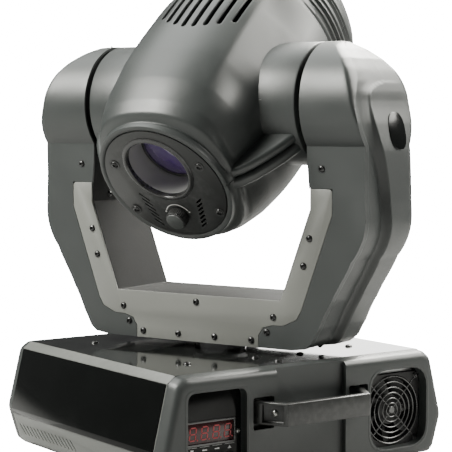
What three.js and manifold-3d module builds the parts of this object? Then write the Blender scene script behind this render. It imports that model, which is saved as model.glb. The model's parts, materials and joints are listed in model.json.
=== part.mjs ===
// Moving head light: a base on four feet, a yoke that pans on it, and a head that tilts in the yoke.
// Millimetres, +Z up. The origin is where the pan axis meets the underside of the base.
// Inside the yoke's group X runs along the tilt axis and -Y is the yoke's front.
// Inside the head's group X runs along the tilt axis, -Y is the way the beam leaves and Z is the head's top.
import * as THREE from "three";
import { mergeVertices } from "three/addons/utils/BufferGeometryUtils.js";
import Module from "manifold-3d";

const wasm = await Module();
wasm.setup();

// Walls and clearances
const GAP = 0.3; // between two pieces that touch
const SHEET = 2; // sheet steel of the base
const FRAME = 3; // sheet steel of the yoke and the head chassis
const SHELL = 3; // moulded covers
const ROUND = 24; // sides of a large round piece
const SMALL_ROUND = 12; // sides of a small round piece

// Base
const BASE_HEIGHT = 117;
const BASE_LENGTH = 303; // between the two end covers
const BASE_TOP_HALF = 162.5; // half width at the top plate
const BASE_HALF = 188; // half width at the widest line of the sides
const BEVEL_OUT = 9;
const BEVEL_DOWN = 7;
const WAIST_HEIGHT = 42; // height of the widest line
const END_DEPTH = 16.5; // how far an end cover stands out
const FOOT_HEIGHT = 10;
const FOOT_RADIUS = 16;

// Features of an end cover
const PILLAR_HALF = 46;
const PILLAR_BACK = 6; // how far the pillar's face lies behind the cover's face
const POCKET_WIDTH = 27;
const RIB = 4; // material between two openings of a cover
const WINDOW_WIDTH = 83;
const WINDOW_LOW = 13;
const WINDOW_HIGH = 100;
const WINDOW_DEPTH = 11;

// Handles
const HANDLE_HALF = 55; // half width of the straight grip
const HANDLE_SPREAD = 17; // how far the slanted ends splay out
const HANDLE_REACH = 30; // from the cover's face to the front of the grip
const HANDLE_THICK = 8;
const HANDLE_LOW = 60;
const HANDLE_HIGH = 84;

// Fans
const FAN_SIZE = 80;
const FAN_DEPTH = 25;
const FAN_BORE = FAN_SIZE / 2 - 2.5;
const FAN_HUB = 17;
const FAN_BLADES = 7;
const GUARD_WIRE = 1.6;

// Pan drive
const HUB_RADIUS = 29;
const SHAFT_RADIUS = 20;
const SHAFT_BORE = 14;
const PAN_PULLEY_RADIUS = 36;
const PAN_MOTOR_PULLEY_RADIUS = 8;
const PAN_MOTOR_OUT = 70; // from the pan axis to the pan motor
const PAN_MOTOR_SIZE = 42;
const BELT = 1.5;
const BEARING_RADIUS = 31;

// Yoke
const PAN_REST = -68.25; // degrees from the row's X axis to the tilt axis
const TILT_HEIGHT = 273.2; // tilt axis above the top plate
const YOKE_CLEAR = 9.1; // underside of the yoke above the top plate
const BAR_TOP = 61.9; // top of the yoke's bar above the top plate
const ARM_INNER = 145.1; // from the pan axis to an arm's inner face
const BAR_INSET = 36.3; // how far the inner face leans in on its way down to the bar
const KNEE_RISE = 99.8; // from the bar's top to where the inner face turns upright
const YOKE_DEPTH = 100; // front to back
const CAP_RADIUS = 67.2;
const CAP_PROUD = 3.7; // how far a cap stands in from the arm's inner face

// Tilt drive
const AXLE_RADIUS = 15;
const AXLE_BORE = 11;
const TILT_BEARING_RADIUS = 24;
const TILT_PULLEY_RADIUS = 38;
const TILT_MOTOR_PULLEY_RADIUS = 9;
const TILT_MOTOR_DROP = 108; // from the tilt axis to the tilt motor
const TILT_MOTOR_SIZE = 56;

// Head
const TILT_REST = 38.46; // degrees that the beam points below level
const HEAD_FRONT = 139.5; // from the tilt axis to the front plate's face
const HEAD_REAR = 184; // from the tilt axis to the rear cap's face
const HEAD_HALF = 107; // half width beside the tilt axis
const HEAD_RISE = 113; // half height beside the tilt axis
const REAR_CAP_LENGTH = 38;
const COLLAR_RADIUS = 67;
const COLLAR_GAP = 6; // running gap between a collar and an arm's cap
const FRONT_PLATE_RADIUS = 73;
const LENS_RISE = 21.4; // optical axis above the head's middle plane
const LENS_RADIUS = 36.7;
const BEZEL_RADIUS = LENS_RADIUS + 6.2;
const LENS_BACK = 34; // how deep the front lens sits behind the plate
const KNOB_DROP = 44.2; // focus knob below the head's middle plane
const KNOB_RADIUS = 12;
const WHEEL_RADIUS = 45;
const WHEEL_SIDE = 32; // wheel centre beside the optical axis
const WHEEL_DROP = 15.4; // wheel centre below the optical axis

const COLOURS = {
  cover: [0x5a5f5c, 0.45, 0.1],
  dark: [0x1b1c1c, 0.35, 0.1],
  steel: [0x8d918f, 0.4, 0.9],
  light: [0xb9bbb4, 0.45, 0.5],
  polished: [0xd8d8d6, 0.12, 1],
  rubber: [0x161616, 0.9, 0],
  belt: [0x202020, 0.8, 0],
  window: [0x5c1518, 0.15, 0],
  glass: [0x8a78b8, 0.05, 0],
  copper: [0x7a4a2a, 0.5, 0.6],
  white: [0xe6e6e2, 0.5, 0],
};

// ---- shaping helpers ----

function solidOf(geometry) {
  const bare = geometry.index ? geometry.toNonIndexed() : geometry.clone();
  bare.deleteAttribute("normal");
  bare.deleteAttribute("uv");
  const merged = mergeVertices(bare, 1e-4);
  const build = (indices) =>
    new wasm.Manifold(
      new wasm.Mesh({
        numProp: 3,
        vertProperties: merged.attributes.position.array,
        triVerts: new Uint32Array(indices),
      }),
    );
  const indices = Array.from(merged.index.array);
  const made = build(indices);
  return made.volume() < 0 ? build(indices.reverse()) : made;
}

const join = (...solids) => solids.reduce((all, next) => all.add(next));
const cut = (from, ...tools) => tools.reduce((left, tool) => left.subtract(tool), from);

function block([x0, x1], [y0, y1], [z0, z1]) {
  const box = new THREE.BoxGeometry(x1 - x0, y1 - y0, z1 - z0);
  return solidOf(box.translate((x0 + x1) / 2, (y0 + y1) / 2, (z0 + z1) / 2));
}

// Turns geometry made along Z so that it runs along the named axis: z keeps (x, y), y takes (x, z), x takes (y, z).
function turnTo(axis, geometry) {
  if (axis === "y") return geometry.rotateX(Math.PI / 2).scale(1, -1, 1);
  if (axis === "x") {
    const turn = new THREE.Matrix4().set(0, 0, 1, 0, 1, 0, 0, 0, 0, 1, 0, 0, 0, 0, 0, 1);
    return geometry.applyMatrix4(turn);
  }
  return geometry;
}

// An outline carried along an axis between two positions.
function prism(axis, outline, [from, to]) {
  const shape = new THREE.Shape(outline.map(([a, b]) => new THREE.Vector2(a, b)));
  const geometry = new THREE.ExtrudeGeometry(shape, { depth: to - from, bevelEnabled: false });
  return solidOf(turnTo(axis, geometry.translate(0, 0, from)));
}

function rod(axis, radius, span, [a, b] = [0, 0], sides = ROUND) {
  const outline = Array.from({ length: sides }, (_, i) => {
    const angle = (i / sides) * 2 * Math.PI;
    return [a + radius * Math.cos(angle), b + radius * Math.sin(angle)];
  });
  return prism(axis, outline, span);
}

function ring(axis, outer, inner, [from, to], centre, sides = ROUND) {
  return cut(rod(axis, outer, [from, to], centre, sides), rod(axis, inner, [from - 1, to + 1], centre, sides));
}

// A profile of [radius, position] points turned about an axis through a centre.
function turned(axis, profile, [a, b] = [0, 0], sides = ROUND) {
  const points = profile.map(([radius, position]) => new THREE.Vector2(radius, position));
  const geometry = new THREE.LatheGeometry(points, sides).rotateX(Math.PI / 2);
  const moved = turnTo(axis, geometry.translate(a, b, 0));
  return solidOf(moved);
}

// A skin over sections of equally many points, with flat ends.
function loft(sections) {
  const count = sections[0].length;
  const positions = sections.flat().flat();
  const indices = [];
  for (let s = 0; s + 1 < sections.length; s++)
    for (let i = 0; i < count; i++) {
      const here = s * count + i;
      const beside = s * count + ((i + 1) % count);
      indices.push(here, beside, here + count, beside, beside + count, here + count);
    }
  const last = (sections.length - 1) * count;
  for (let i = 1; i + 1 < count; i++) {
    indices.push(0, i + 1, i);
    indices.push(last, last + i, last + i + 1);
  }
  const geometry = new THREE.BufferGeometry();
  geometry.setAttribute("position", new THREE.Float32BufferAttribute(positions, 3));
  geometry.setIndex(indices);
  return solidOf(geometry);
}

// The tangent loop round two circles, as a belt lies on its pulleys.
function loopOutline([ax, ay], ra, [bx, by], rb, steps = 24) {
  const along = Math.atan2(by - ay, bx - ax);
  const lean = Math.acos((ra - rb) / Math.hypot(bx - ax, by - ay));
  const arc = (cx, cy, radius, start, sweep) =>
    Array.from({ length: steps + 1 }, (_, i) => {
      const angle = start + (sweep * i) / steps;
      return [cx + radius * Math.cos(angle), cy + radius * Math.sin(angle)];
    });
  return [
    ...arc(ax, ay, ra, along + lean, 2 * (Math.PI - lean)),
    ...arc(bx, by, rb, along - lean, 2 * lean),
  ];
}

function belt(axis, centreA, radiusA, centreB, radiusB, span) {
  const outer = loopOutline(centreA, radiusA + GAP + BELT, centreB, radiusB + GAP + BELT);
  const inner = loopOutline(centreA, radiusA + GAP, centreB, radiusB + GAP);
  return cut(prism(axis, outer, span), prism(axis, inner, [span[0] - 1, span[1] + 1]));
}

const mirrored = (outline) => [...outline, ...outline.map(([a, b]) => [-a, b]).reverse()];
const flip = (solid, axis) => solid.mirror(axis === "x" ? [1, 0, 0] : [0, 1, 0]);

function mesh(name, solid, [color, roughness, metalness]) {
  const { numProp, vertProperties, triVerts } = solid.getMesh();
  const positions = new Float32Array((vertProperties.length / numProp) * 3);
  for (let i = 0; i * 3 < positions.length; i++)
    positions.set(vertProperties.subarray(i * numProp, i * numProp + 3), i * 3);
  const geometry = new THREE.BufferGeometry();
  geometry.setAttribute("position", new THREE.BufferAttribute(positions, 3));
  geometry.setIndex(new THREE.BufferAttribute(triVerts, 1));
  const material = new THREE.MeshStandardMaterial({ color, roughness, metalness, flatShading: true });
  const made = new THREE.Mesh(geometry, material);
  made.name = name;
  return made;
}

// ---- base ----

const baseEnd = BASE_LENGTH / 2;
const coverFace = baseEnd + END_DEPTH;
const windowInner = PILLAR_HALF + RIB + POCKET_WIDTH + RIB;
const windowMiddle = windowInner + WINDOW_WIDTH / 2;
const panelFace = coverFace - WINDOW_DEPTH - GAP;
const fanMiddle = windowInner - 1 + FAN_SIZE / 2;
const fanHeight = WINDOW_LOW + FAN_SIZE / 2;
const topUnder = BASE_HEIGHT - SHEET;

const sideLine = [
  [BASE_TOP_HALF, BASE_HEIGHT],
  [BASE_TOP_HALF + BEVEL_OUT, BASE_HEIGHT - BEVEL_DOWN],
  [BASE_HALF, WAIST_HEIGHT],
  [BASE_HALF - 11, 5],
  [BASE_HALF - 17, 0],
];
const FLANGE_REACH = 17; // width of a side panel's top and bottom flanges
const trayHalf = BASE_HALF - 17 - FLANGE_REACH - GAP;

function sidePanel() {
  const flangeTop = topUnder - GAP;
  const outline = [
    ...sideLine,
    [trayHalf + GAP, 0],
    [trayHalf + GAP, SHEET],
    [BASE_HALF - 18, SHEET],
    [BASE_HALF - 13, 6.2],
    [BASE_HALF - SHEET - 0.2, WAIST_HEIGHT],
    [BASE_TOP_HALF + BEVEL_OUT - SHEET, BASE_HEIGHT - BEVEL_DOWN - 1.4],
    [BASE_TOP_HALF - 0.5, flangeTop - SHEET],
    [BASE_TOP_HALF - FLANGE_REACH, flangeTop - SHEET],
    [BASE_TOP_HALF - FLANGE_REACH, flangeTop],
    [BASE_TOP_HALF, flangeTop],
  ];
  return prism("y", outline, [-baseEnd + GAP, baseEnd - GAP]);
}

function baseTray() {
  const floor = block([-trayHalf, trayHalf], [-baseEnd + 0.5, baseEnd - 0.5], [0, SHEET]);
  const wallTop = topUnder - GAP - SHEET - GAP;
  const wallOutline = mirrored([
    [trayHalf, 0],
    [trayHalf, SHEET + GAP],
    [BASE_HALF - 20, SHEET + GAP],
    [BASE_HALF - 14.5, 6.6],
    [BASE_HALF - SHEET - 0.8, WAIST_HEIGHT],
    [BASE_TOP_HALF + BEVEL_OUT - SHEET - 0.8, BASE_HEIGHT - BEVEL_DOWN - 2],
    [BASE_TOP_HALF - 2, wallTop],
  ]);
  const wall = prism("y", wallOutline, [baseEnd - 0.5 - SHEET, baseEnd - 0.5]);
  const half = FAN_SIZE / 2 + GAP;
  const fanHole = block(
    [fanMiddle - half, fanMiddle + half],
    [-baseEnd - 1, -baseEnd + 10],
    [fanHeight - half, fanHeight + half],
  );
  return cut(join(floor, wall, flip(wall, "y")), fanHole);
}

function topPlate() {
  const half = BASE_TOP_HALF - GAP;
  const sheet = block([-half, half], [-baseEnd + GAP, baseEnd - GAP], [topUnder, BASE_HEIGHT]);
  return cut(sheet, rod("z", HUB_RADIUS + GAP, [topUnder - 1, BASE_HEIGHT + 1]));
}

// The base's whole cross-section, drawn in by an inset.
function endOutline(inset) {
  const middle = BASE_HEIGHT / 2;
  const narrow = 1 - inset / BASE_HALF;
  const lower = 1 - inset / middle;
  return mirrored(sideLine.map(([x, z]) => [x * narrow, middle + (z - middle) * lower]));
}

function windowFrame(inner, outer, margin) {
  return [
    [inner - margin, outer + margin],
    [WINDOW_LOW - margin, WINDOW_HIGH + margin],
  ];
}

// The plain end cover at -Y: a moulded shell with a sunk pillar, two pockets and framed windows.
function endCoverShell() {
  const at = (y, inset) => endOutline(inset).map(([x, z]) => [x, y, z]);
  const outer = loft([
    at(-baseEnd - GAP, 0),
    at(-coverFace + 7, 1.5),
    at(-coverFace + 2, 4),
    at(-coverFace, 8),
  ]);
  const hollow = prism("y", endOutline(SHELL + 5), [-coverFace + SHELL, -baseEnd + 1]);
  const behindPillar = block(
    [-PILLAR_HALF - RIB, PILLAR_HALF + RIB],
    [-coverFace, -coverFace + PILLAR_BACK + SHELL],
    [0, BASE_HEIGHT],
  );
  return cut(outer, cut(hollow, behindPillar), pillarSink(), pockets());
}

function pillarSink() {
  return block(
    [-PILLAR_HALF, PILLAR_HALF],
    [-coverFace - 1, -coverFace + PILLAR_BACK],
    [-1, BASE_HEIGHT + 1],
  );
}

function pockets() {
  const pocket = block(
    [PILLAR_HALF + RIB, PILLAR_HALF + RIB + POCKET_WIDTH],
    [-coverFace - 1, -baseEnd + 1],
    [HANDLE_LOW - 6, HANDLE_HIGH + 4],
  );
  return join(pocket, flip(pocket, "x"));
}

// A window with a short frame that leads back to what is mounted behind it.
function addWindow(cover, [low, high]) {
  const [x, z] = windowFrame(low, high, SHELL);
  const [openX, openZ] = windowFrame(low, high, 0);
  const frame = block(x, [-coverFace + SHELL, -coverFace + WINDOW_DEPTH], z);
  const whole = prism("y", endOutline(SHELL + 2), [-coverFace, -baseEnd]);
  return cut(join(cover, frame.intersect(whole)), block(openX, [-coverFace - 1, -baseEnd + 1], openZ));
}

function frontEndCover() {
  const withFan = addWindow(endCoverShell(), [windowInner, windowInner + WINDOW_WIDTH]);
  return addWindow(withFan, [-windowInner - WINDOW_WIDTH + RIB, -windowInner - RIB]);
}

const INLET = { x: -122, z: 58, width: 48, height: 27 };
const SWITCH = { x: -122, z: 92, width: 30, height: 22 };
const SOCKETS = { x: 122, z: 58, width: 66, height: 36 };

const opening = ({ x, z, width, height }, margin, span) =>
  block(
    [x - width / 2 - margin, x + width / 2 + margin],
    span,
    [z - height / 2 - margin, z + height / 2 + margin],
  );

function rearEndCover() {
  const shell = flip(endCoverShell(), "y");
  const through = [baseEnd, coverFace + 1];
  return cut(shell, ...[INLET, SWITCH, SOCKETS].map((hole) => opening(hole, GAP, through)));
}

function handle() {
  const face = -coverFace;
  const front = face - HANDLE_REACH;
  const foot = HANDLE_HALF + HANDLE_SPREAD;
  const outer = [
    [foot, -baseEnd],
    [foot, face],
    [HANDLE_HALF, front],
  ];
  const inner = [
    [HANDLE_HALF - 4, front + HANDLE_THICK],
    [foot - HANDLE_THICK, face + 1],
    [foot - HANDLE_THICK, -baseEnd],
  ];
  const mirror = ([x, y]) => [-x, y];
  const outline = [
    ...outer,
    ...outer.map(mirror).reverse(),
    ...inner.map(mirror).reverse(),
    ...inner,
  ];
  return prism("z", outline, [HANDLE_LOW, HANDLE_HIGH]);
}

const DISPLAY = { x: -windowMiddle - 0.5, z: 56, width: 57, height: 21 };
const BUTTON_RADIUS = 4.5;
const BUTTON_PITCH = 15.5;
const BUTTON_HEIGHT = 29;
const buttonAt = (i) => [-windowMiddle + (i - 1.5) * BUTTON_PITCH, BUTTON_HEIGHT];

function controlPanel() {
  const low = -windowInner - WINDOW_WIDTH + RIB;
  const board = block(
    [low - SHELL, -windowInner - RIB + SHELL],
    [-panelFace, -panelFace + SHEET],
    [WINDOW_LOW - SHELL + 1, WINDOW_HIGH + SHELL - 1],
  );
  const holes = [0, 1, 2, 3].map((i) =>
    rod("y", BUTTON_RADIUS + GAP, [-panelFace - 1, -panelFace + SHEET + 1], buttonAt(i), SMALL_ROUND),
  );
  const sight = opening(DISPLAY, GAP, [-panelFace - 1, -panelFace + SHEET + 1]);
  return cut(board, sight, ...holes);
}

function displayWindow() {
  const pane = opening(DISPLAY, 0, [-panelFace - 0.8, -panelFace + SHEET + GAP]);
  const rim = opening(DISPLAY, 2, [-panelFace + SHEET + GAP, -panelFace + SHEET + GAP + 1.5]);
  return join(pane, rim);
}

function menuButton(i) {
  const cap = rod("y", BUTTON_RADIUS, [-panelFace - 2.2, -panelFace + SHEET + GAP], buttonAt(i), SMALL_ROUND);
  const flange = [-panelFace + SHEET + GAP, -panelFace + SHEET + GAP + 1];
  return join(cap, rod("y", BUTTON_RADIUS + 1.2, flange, buttonAt(i), SMALL_ROUND));
}

function fanFrame() {
  const half = FAN_SIZE / 2;
  const span = [-panelFace, -panelFace + FAN_DEPTH];
  const body = block([fanMiddle - half, fanMiddle + half], span, [fanHeight - half, fanHeight + half]);
  const middle = [fanMiddle, fanHeight];
  const bored = cut(body, rod("y", FAN_BORE, [span[0] - 1, span[1] + 1], middle));
  const strutSpan = [span[1] - 3, span[1]];
  const strut = block([fanMiddle - 2, fanMiddle + 2], strutSpan, [fanHeight - half + 1, fanHeight + half - 1]);
  const cross = block([fanMiddle - half + 1, fanMiddle + half - 1], strutSpan, [fanHeight - 2, fanHeight + 2]);
  return join(bored, strut, cross, rod("y", FAN_HUB, strutSpan, middle, SMALL_ROUND));
}

// A hub with pitched blades, turning about Y at the given place.
function fanRotor([x, z], [from, to]) {
  const hub = rod("y", FAN_HUB, [from, to], [0, 0], SMALL_ROUND);
  const reach = FAN_BORE - 1;
  const blades = Array.from({ length: FAN_BLADES }, (_, i) => {
    const depth = (to - from) * 0.9;
    const blade = new THREE.BoxGeometry(reach - FAN_HUB + 3, depth, 1.6);
    blade.rotateX(THREE.MathUtils.degToRad(38));
    blade.translate((reach + FAN_HUB - 3) / 2, (from + to) / 2, 0);
    return solidOf(blade.rotateY((i / FAN_BLADES) * 2 * Math.PI));
  });
  return join(hub, ...blades).translate([x, 0, z]);
}

function fanGuard() {
  const middle = [fanMiddle, fanHeight];
  const span = [-panelFace - GAP - GUARD_WIRE, -panelFace - GAP];
  const rings = [0, 1, 2, 3].map((i) => {
    const radius = FAN_SIZE / 2 - 2 - 7.5 * i;
    return ring("y", radius, radius - GUARD_WIRE, span, middle, 16);
  });
  const reach = (FAN_SIZE / 2) * Math.SQRT2 - 5;
  const spokes = [45, 135].map((angle) => {
    const wire = new THREE.BoxGeometry(2 * reach, GUARD_WIRE, GUARD_WIRE);
    wire.rotateY(THREE.MathUtils.degToRad(angle));
    return solidOf(wire.translate(fanMiddle, (span[0] + span[1]) / 2, fanHeight));
  });
  return join(...rings, ...spokes, rod("y", 6, span, middle, SMALL_ROUND));
}

function powerInlet() {
  const flange = opening(INLET, 3, [coverFace + GAP, coverFace + GAP + 2]);
  const body = opening(INLET, 0, [baseEnd + 4, coverFace + GAP + 1]);
  const socket = opening({ ...INLET, width: 24, height: 16 }, 0, [baseEnd + 6, coverFace + 5]);
  const pin = (x, z) => block([INLET.x + x - 1, INLET.x + x + 1], [baseEnd + 5, coverFace], [z - 2, z + 2]);
  const pins = [pin(-7, INLET.z - 1.5), pin(0, INLET.z + 2.5), pin(7, INLET.z - 1.5)];
  return join(cut(join(flange, body), socket), ...pins);
}

function powerSwitch() {
  const rocker = [
    [coverFace - 9, SWITCH.z - 10],
    [coverFace + 4, SWITCH.z - 10],
    [coverFace + 2, SWITCH.z],
    [coverFace + 1.2, SWITCH.z + 10],
    [coverFace - 9, SWITCH.z + 10],
  ];
  const half = SWITCH.width / 2 - GAP;
  return prism("x", rocker, [SWITCH.x - half, SWITCH.x + half]);
}

function dataSockets() {
  const plate = opening(SOCKETS, 3, [coverFace + GAP, coverFace + GAP + 2]);
  const body = opening(SOCKETS, -2, [baseEnd + 4, coverFace + 1]);
  const bores = [-17, 17].map((x) =>
    rod("y", 9, [baseEnd + 6, coverFace + 5], [SOCKETS.x + x, SOCKETS.z], SMALL_ROUND),
  );
  return cut(join(plate, body), ...bores);
}

function transformer() {
  const floor = SHEET + GAP;
  const core = block([-120, -48], [10, 72], [floor, floor + 62]);
  const coil = block([-110, -58], [-6, 88], [floor + 12, floor + 50]);
  return join(core, coil);
}

function footAt(x, y) {
  const profile = [
    [0, -FOOT_HEIGHT],
    [FOOT_RADIUS - 3, -FOOT_HEIGHT],
    [FOOT_RADIUS, -GAP],
    [0, -GAP],
  ];
  return turned("z", profile, [x, y], SMALL_ROUND);
}

const coverUnder = BASE_HEIGHT + YOKE_CLEAR + 0.4;
const barUnder = coverUnder + SHELL + GAP;
const barOver = BASE_HEIGHT + BAR_TOP - GAP;
const bearingSpan = [barUnder - 1, barUnder + 5];
const pulleySpan = [barUnder + 6, barUnder + 14];

function panShaft() {
  const profile = [
    [SHAFT_BORE, topUnder - 6],
    [HUB_RADIUS + 16, topUnder - 6],
    [HUB_RADIUS + 16, topUnder - GAP],
    [HUB_RADIUS, topUnder - GAP],
    [HUB_RADIUS, BASE_HEIGHT + YOKE_CLEAR - 1],
    [SHAFT_RADIUS, BASE_HEIGHT + YOKE_CLEAR],
    [SHAFT_RADIUS, pulleySpan[1] + 5],
    [SHAFT_BORE, pulleySpan[1] + 5],
    [SHAFT_BORE, topUnder - 6],
  ];
  return turned("z", profile);
}

const panPulley = () => ring("z", PAN_PULLEY_RADIUS, SHAFT_RADIUS + GAP, pulleySpan);

function makeBase() {
  const group = new THREE.Group();
  const side = sidePanel();
  const grip = handle();
  const footX = trayHalf - 20;
  const footY = baseEnd - 30;
  const rotorSpan = [-panelFace + 2, -panelFace + FAN_DEPTH - 4];
  group.add(
    mesh("base_tray", baseTray(), COLOURS.steel),
    mesh("top_plate", topPlate(), COLOURS.dark),
    mesh("side_panel_right", side, COLOURS.light),
    mesh("side_panel_left", flip(side, "x"), COLOURS.light),
    mesh("front_end_cover", frontEndCover(), COLOURS.cover),
    mesh("rear_end_cover", rearEndCover(), COLOURS.cover),
    mesh("front_handle", grip, COLOURS.cover),
    mesh("rear_handle", flip(grip, "y"), COLOURS.cover),
    mesh("control_panel", controlPanel(), COLOURS.dark),
    mesh("display_window", displayWindow(), COLOURS.window),
    ...[0, 1, 2, 3].map((i) => mesh(`menu_button_${i + 1}`, menuButton(i), COLOURS.dark)),
    mesh("base_fan_guard", fanGuard(), COLOURS.steel),
    mesh("base_fan_frame", fanFrame(), COLOURS.dark),
    mesh("base_fan_rotor", fanRotor([fanMiddle, fanHeight], rotorSpan), COLOURS.dark),
    mesh("rubber_foot_1", footAt(-footX, -footY), COLOURS.rubber),
    mesh("rubber_foot_2", footAt(footX, -footY), COLOURS.rubber),
    mesh("rubber_foot_3", footAt(footX, footY), COLOURS.rubber),
    mesh("rubber_foot_4", footAt(-footX, footY), COLOURS.rubber),
    mesh("power_inlet", powerInlet(), COLOURS.dark),
    mesh("power_switch", powerSwitch(), COLOURS.dark),
    mesh("data_sockets", dataSockets(), COLOURS.dark),
    mesh("transformer", transformer(), COLOURS.copper),
    mesh("pan_shaft", panShaft(), COLOURS.polished),
    mesh("pan_pulley", panPulley(), COLOURS.steel),
  );
  return group;
}

// ---- yoke ----

const axisHeight = BASE_HEIGHT + TILT_HEIGHT;
const halfDepth = YOKE_DEPTH / 2;
const barTop = BASE_HEIGHT + BAR_TOP;
const barCorner = ARM_INNER - BAR_INSET;
const kneeHeight = barTop + KNEE_RISE;
const frameHalf = halfDepth - FRAME - GAP;
const PLATE_EDGE = 26.8; // from the arm's inner face out to the front plate's edge
const PLATE_RISE = 121.4; // from the bar's top up to the front plate's top
const BAR_END = 40; // from an arm's inner face in to the bar's end

// The curved outer edge of the front plate on one side, from its top down to its foot.
function plateEdge(shiftOut = 0, shiftDown = 0) {
  const edge = [
    [PLATE_EDGE, PLATE_RISE - 27],
    [-12.1, -11.9],
    [-15.5, -17.5],
    [-22.7, -24],
    [-32.7, -26.8],
    [-47, -27],
    [-55.5, -28.7],
    [-62.6, -34],
    [-63.9, -39.6],
    [-63.9, YOKE_CLEAR - BAR_TOP],
  ];
  return edge.map(([out, up]) => [ARM_INNER + out + shiftOut, barTop + up - shiftDown]);
}

function yokePlate() {
  const half = [
    [barCorner, barTop],
    [ARM_INNER, kneeHeight],
    [ARM_INNER, barTop + PLATE_RISE],
    [ARM_INNER + PLATE_EDGE, barTop + PLATE_RISE],
    ...plateEdge(),
  ];
  return prism("y", mirrored(half), [-halfDepth, -halfDepth + FRAME]);
}

function yokeBar() {
  const end = ARM_INNER - BAR_END;
  const tube = cut(
    block([-end, end], [-frameHalf, frameHalf], [barUnder, barOver]),
    block([-end + FRAME, end - FRAME], [-halfDepth, halfDepth], [barUnder + FRAME, barOver - FRAME]),
  );
  return cut(tube, rod("z", BEARING_RADIUS + GAP, [barUnder - 1, barUnder + FRAME + 1]));
}

function armPlate() {
  const foot = ARM_INNER - BAR_END + GAP;
  const top = axisHeight + halfDepth;
  const lean = FRAME * 1.06;
  const strip = prism(
    "y",
    [
      [foot, barUnder],
      [foot, barTop - 5],
      [barCorner, barTop],
      [ARM_INNER, kneeHeight],
      [ARM_INNER, top],
      [ARM_INNER + FRAME, top],
      [ARM_INNER + FRAME, kneeHeight - 0.5],
      [barCorner + lean, barTop - 1],
      [foot + FRAME, barTop - 6],
      [foot + FRAME, barUnder],
    ],
    [-frameHalf, frameHalf],
  );
  const aboveAxis = block([0, 300], [-100, 100], [axisHeight, top + 1]);
  const disc = rod("x", CAP_RADIUS - SHELL - 0.7, [ARM_INNER, ARM_INNER + FRAME], [0, axisHeight]);
  const bore = rod("x", TILT_BEARING_RADIUS + GAP, [ARM_INNER - 1, ARM_INNER + 10], [0, axisHeight]);
  return cut(join(cut(strip, aboveAxis), disc), bore);
}

// The arm's outer line from its underside up and over its round top, drawn in by a wall.
function armLine(wall) {
  const low = coverUnder + wall;
  const line = [
    [-14, low],
    [1 - wall * 0.3, low + 1.5],
    [10 - wall, low + 8.5],
    [19 - wall, barTop - 28 + wall * 0.5],
    [34 - wall, barTop + 2 + wall * 0.5],
    [58 - wall, barTop + 46 + wall * 0.5],
    [70 - wall, barTop + 66 + wall * 0.5],
    [74.4 - wall, barTop + 84],
    [74 - wall, barTop + 107],
    [72 - wall, axisHeight - 50],
    [67 - wall, axisHeight - 21],
    [62 - wall, axisHeight],
    [60 - wall, axisHeight + 15],
    [55 - wall, axisHeight + 31 - wall * 0.4],
    [42.5 - wall, axisHeight + 48 - wall * 0.7],
    [30 - wall, axisHeight + 58.5 - wall],
    [18 - wall, axisHeight + 66.5 - wall],
  ];
  return line.map(([out, z]) => [ARM_INNER + out, z]);
}

// The body of an arm and its round cap inside one outer line: an upright slab below the axis, a cylinder about it.
function armBody(wall, capStart, innerEdge) {
  const outline = [...innerEdge, ...armLine(wall)];
  const over = axisHeight + CAP_RADIUS + 1 - wall;
  const capOutline = [
    [capStart, over],
    [capStart, axisHeight - CAP_RADIUS - 1],
    ...armLine(wall).filter(([, z]) => z > axisHeight - CAP_RADIUS - 10),
    [ARM_INNER + 10, over],
  ];
  const half = halfDepth - wall;
  const slab = block([0, 400], [-half, half], [0, axisHeight]);
  const drum = rod("x", CAP_RADIUS - wall, [0, 400], [0, axisHeight]);
  const arm = prism("y", [...outline, [ARM_INNER + 10, over]], [-CAP_RADIUS, CAP_RADIUS]);
  return join(arm.intersect(slab), prism("y", capOutline, [-CAP_RADIUS, CAP_RADIUS]).intersect(drum));
}

function armCover() {
  const lobeEnd = ARM_INNER - 63.6;
  const outerEdge = [
    [ARM_INNER, axisHeight + CAP_RADIUS],
    [ARM_INNER, kneeHeight],
    [barCorner, barTop],
    [lobeEnd, barTop],
    [lobeEnd, coverUnder],
  ];
  const openEdge = [
    [ARM_INNER - 100, axisHeight + CAP_RADIUS],
    [ARM_INNER - 100, coverUnder + SHELL],
  ];
  const outer = armBody(0, ARM_INNER - CAP_PROUD, outerEdge);
  const inner = armBody(SHELL, ARM_INNER - CAP_PROUD - 1, openEdge);
  const seat = [
    [0, BASE_HEIGHT],
    [0, barTop + PLATE_RISE + GAP],
    [ARM_INNER + PLATE_EDGE + GAP, barTop + PLATE_RISE + GAP],
    ...plateEdge(GAP, GAP),
    [ARM_INNER - 63.9 + GAP, BASE_HEIGHT],
  ];
  const seatCut = join(
    prism("y", seat, [-halfDepth - 1, -frameHalf]),
    prism("y", seat, [frameHalf, halfDepth + 1]),
  );
  return cut(outer, inner, seatCut);
}

function panMotor() {
  const half = PAN_MOTOR_SIZE / 2;
  const top = barOver - FRAME - GAP;
  const body = block([-PAN_MOTOR_OUT - half, -PAN_MOTOR_OUT + half], [-half, half], [pulleySpan[1] + 2, top]);
  return join(body, rod("z", 2.5, [pulleySpan[0] - 1, top - 1], [-PAN_MOTOR_OUT, 0], SMALL_ROUND));
}

const tiltPulleySpan = [ARM_INNER + 12, ARM_INNER + 22];

function tiltMotor() {
  const half = TILT_MOTOR_SIZE / 2;
  const z = axisHeight - TILT_MOTOR_DROP;
  const face = tiltPulleySpan[1] + 3;
  const body = block([face, face + 38], [-half, half], [z - half, z + half]);
  const shaft = rod("x", 3, [tiltPulleySpan[0] - 2, face + 1], [0, z], SMALL_ROUND);
  const postAt = half - 5;
  const posts = [-1, 1].flatMap((a) =>
    [-1, 1].map((b) => rod("x", 3, [ARM_INNER + FRAME + GAP, face + 1], [a * postAt, z + b * postAt], 8)),
  );
  return join(body, shaft, ...posts);
}

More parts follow.
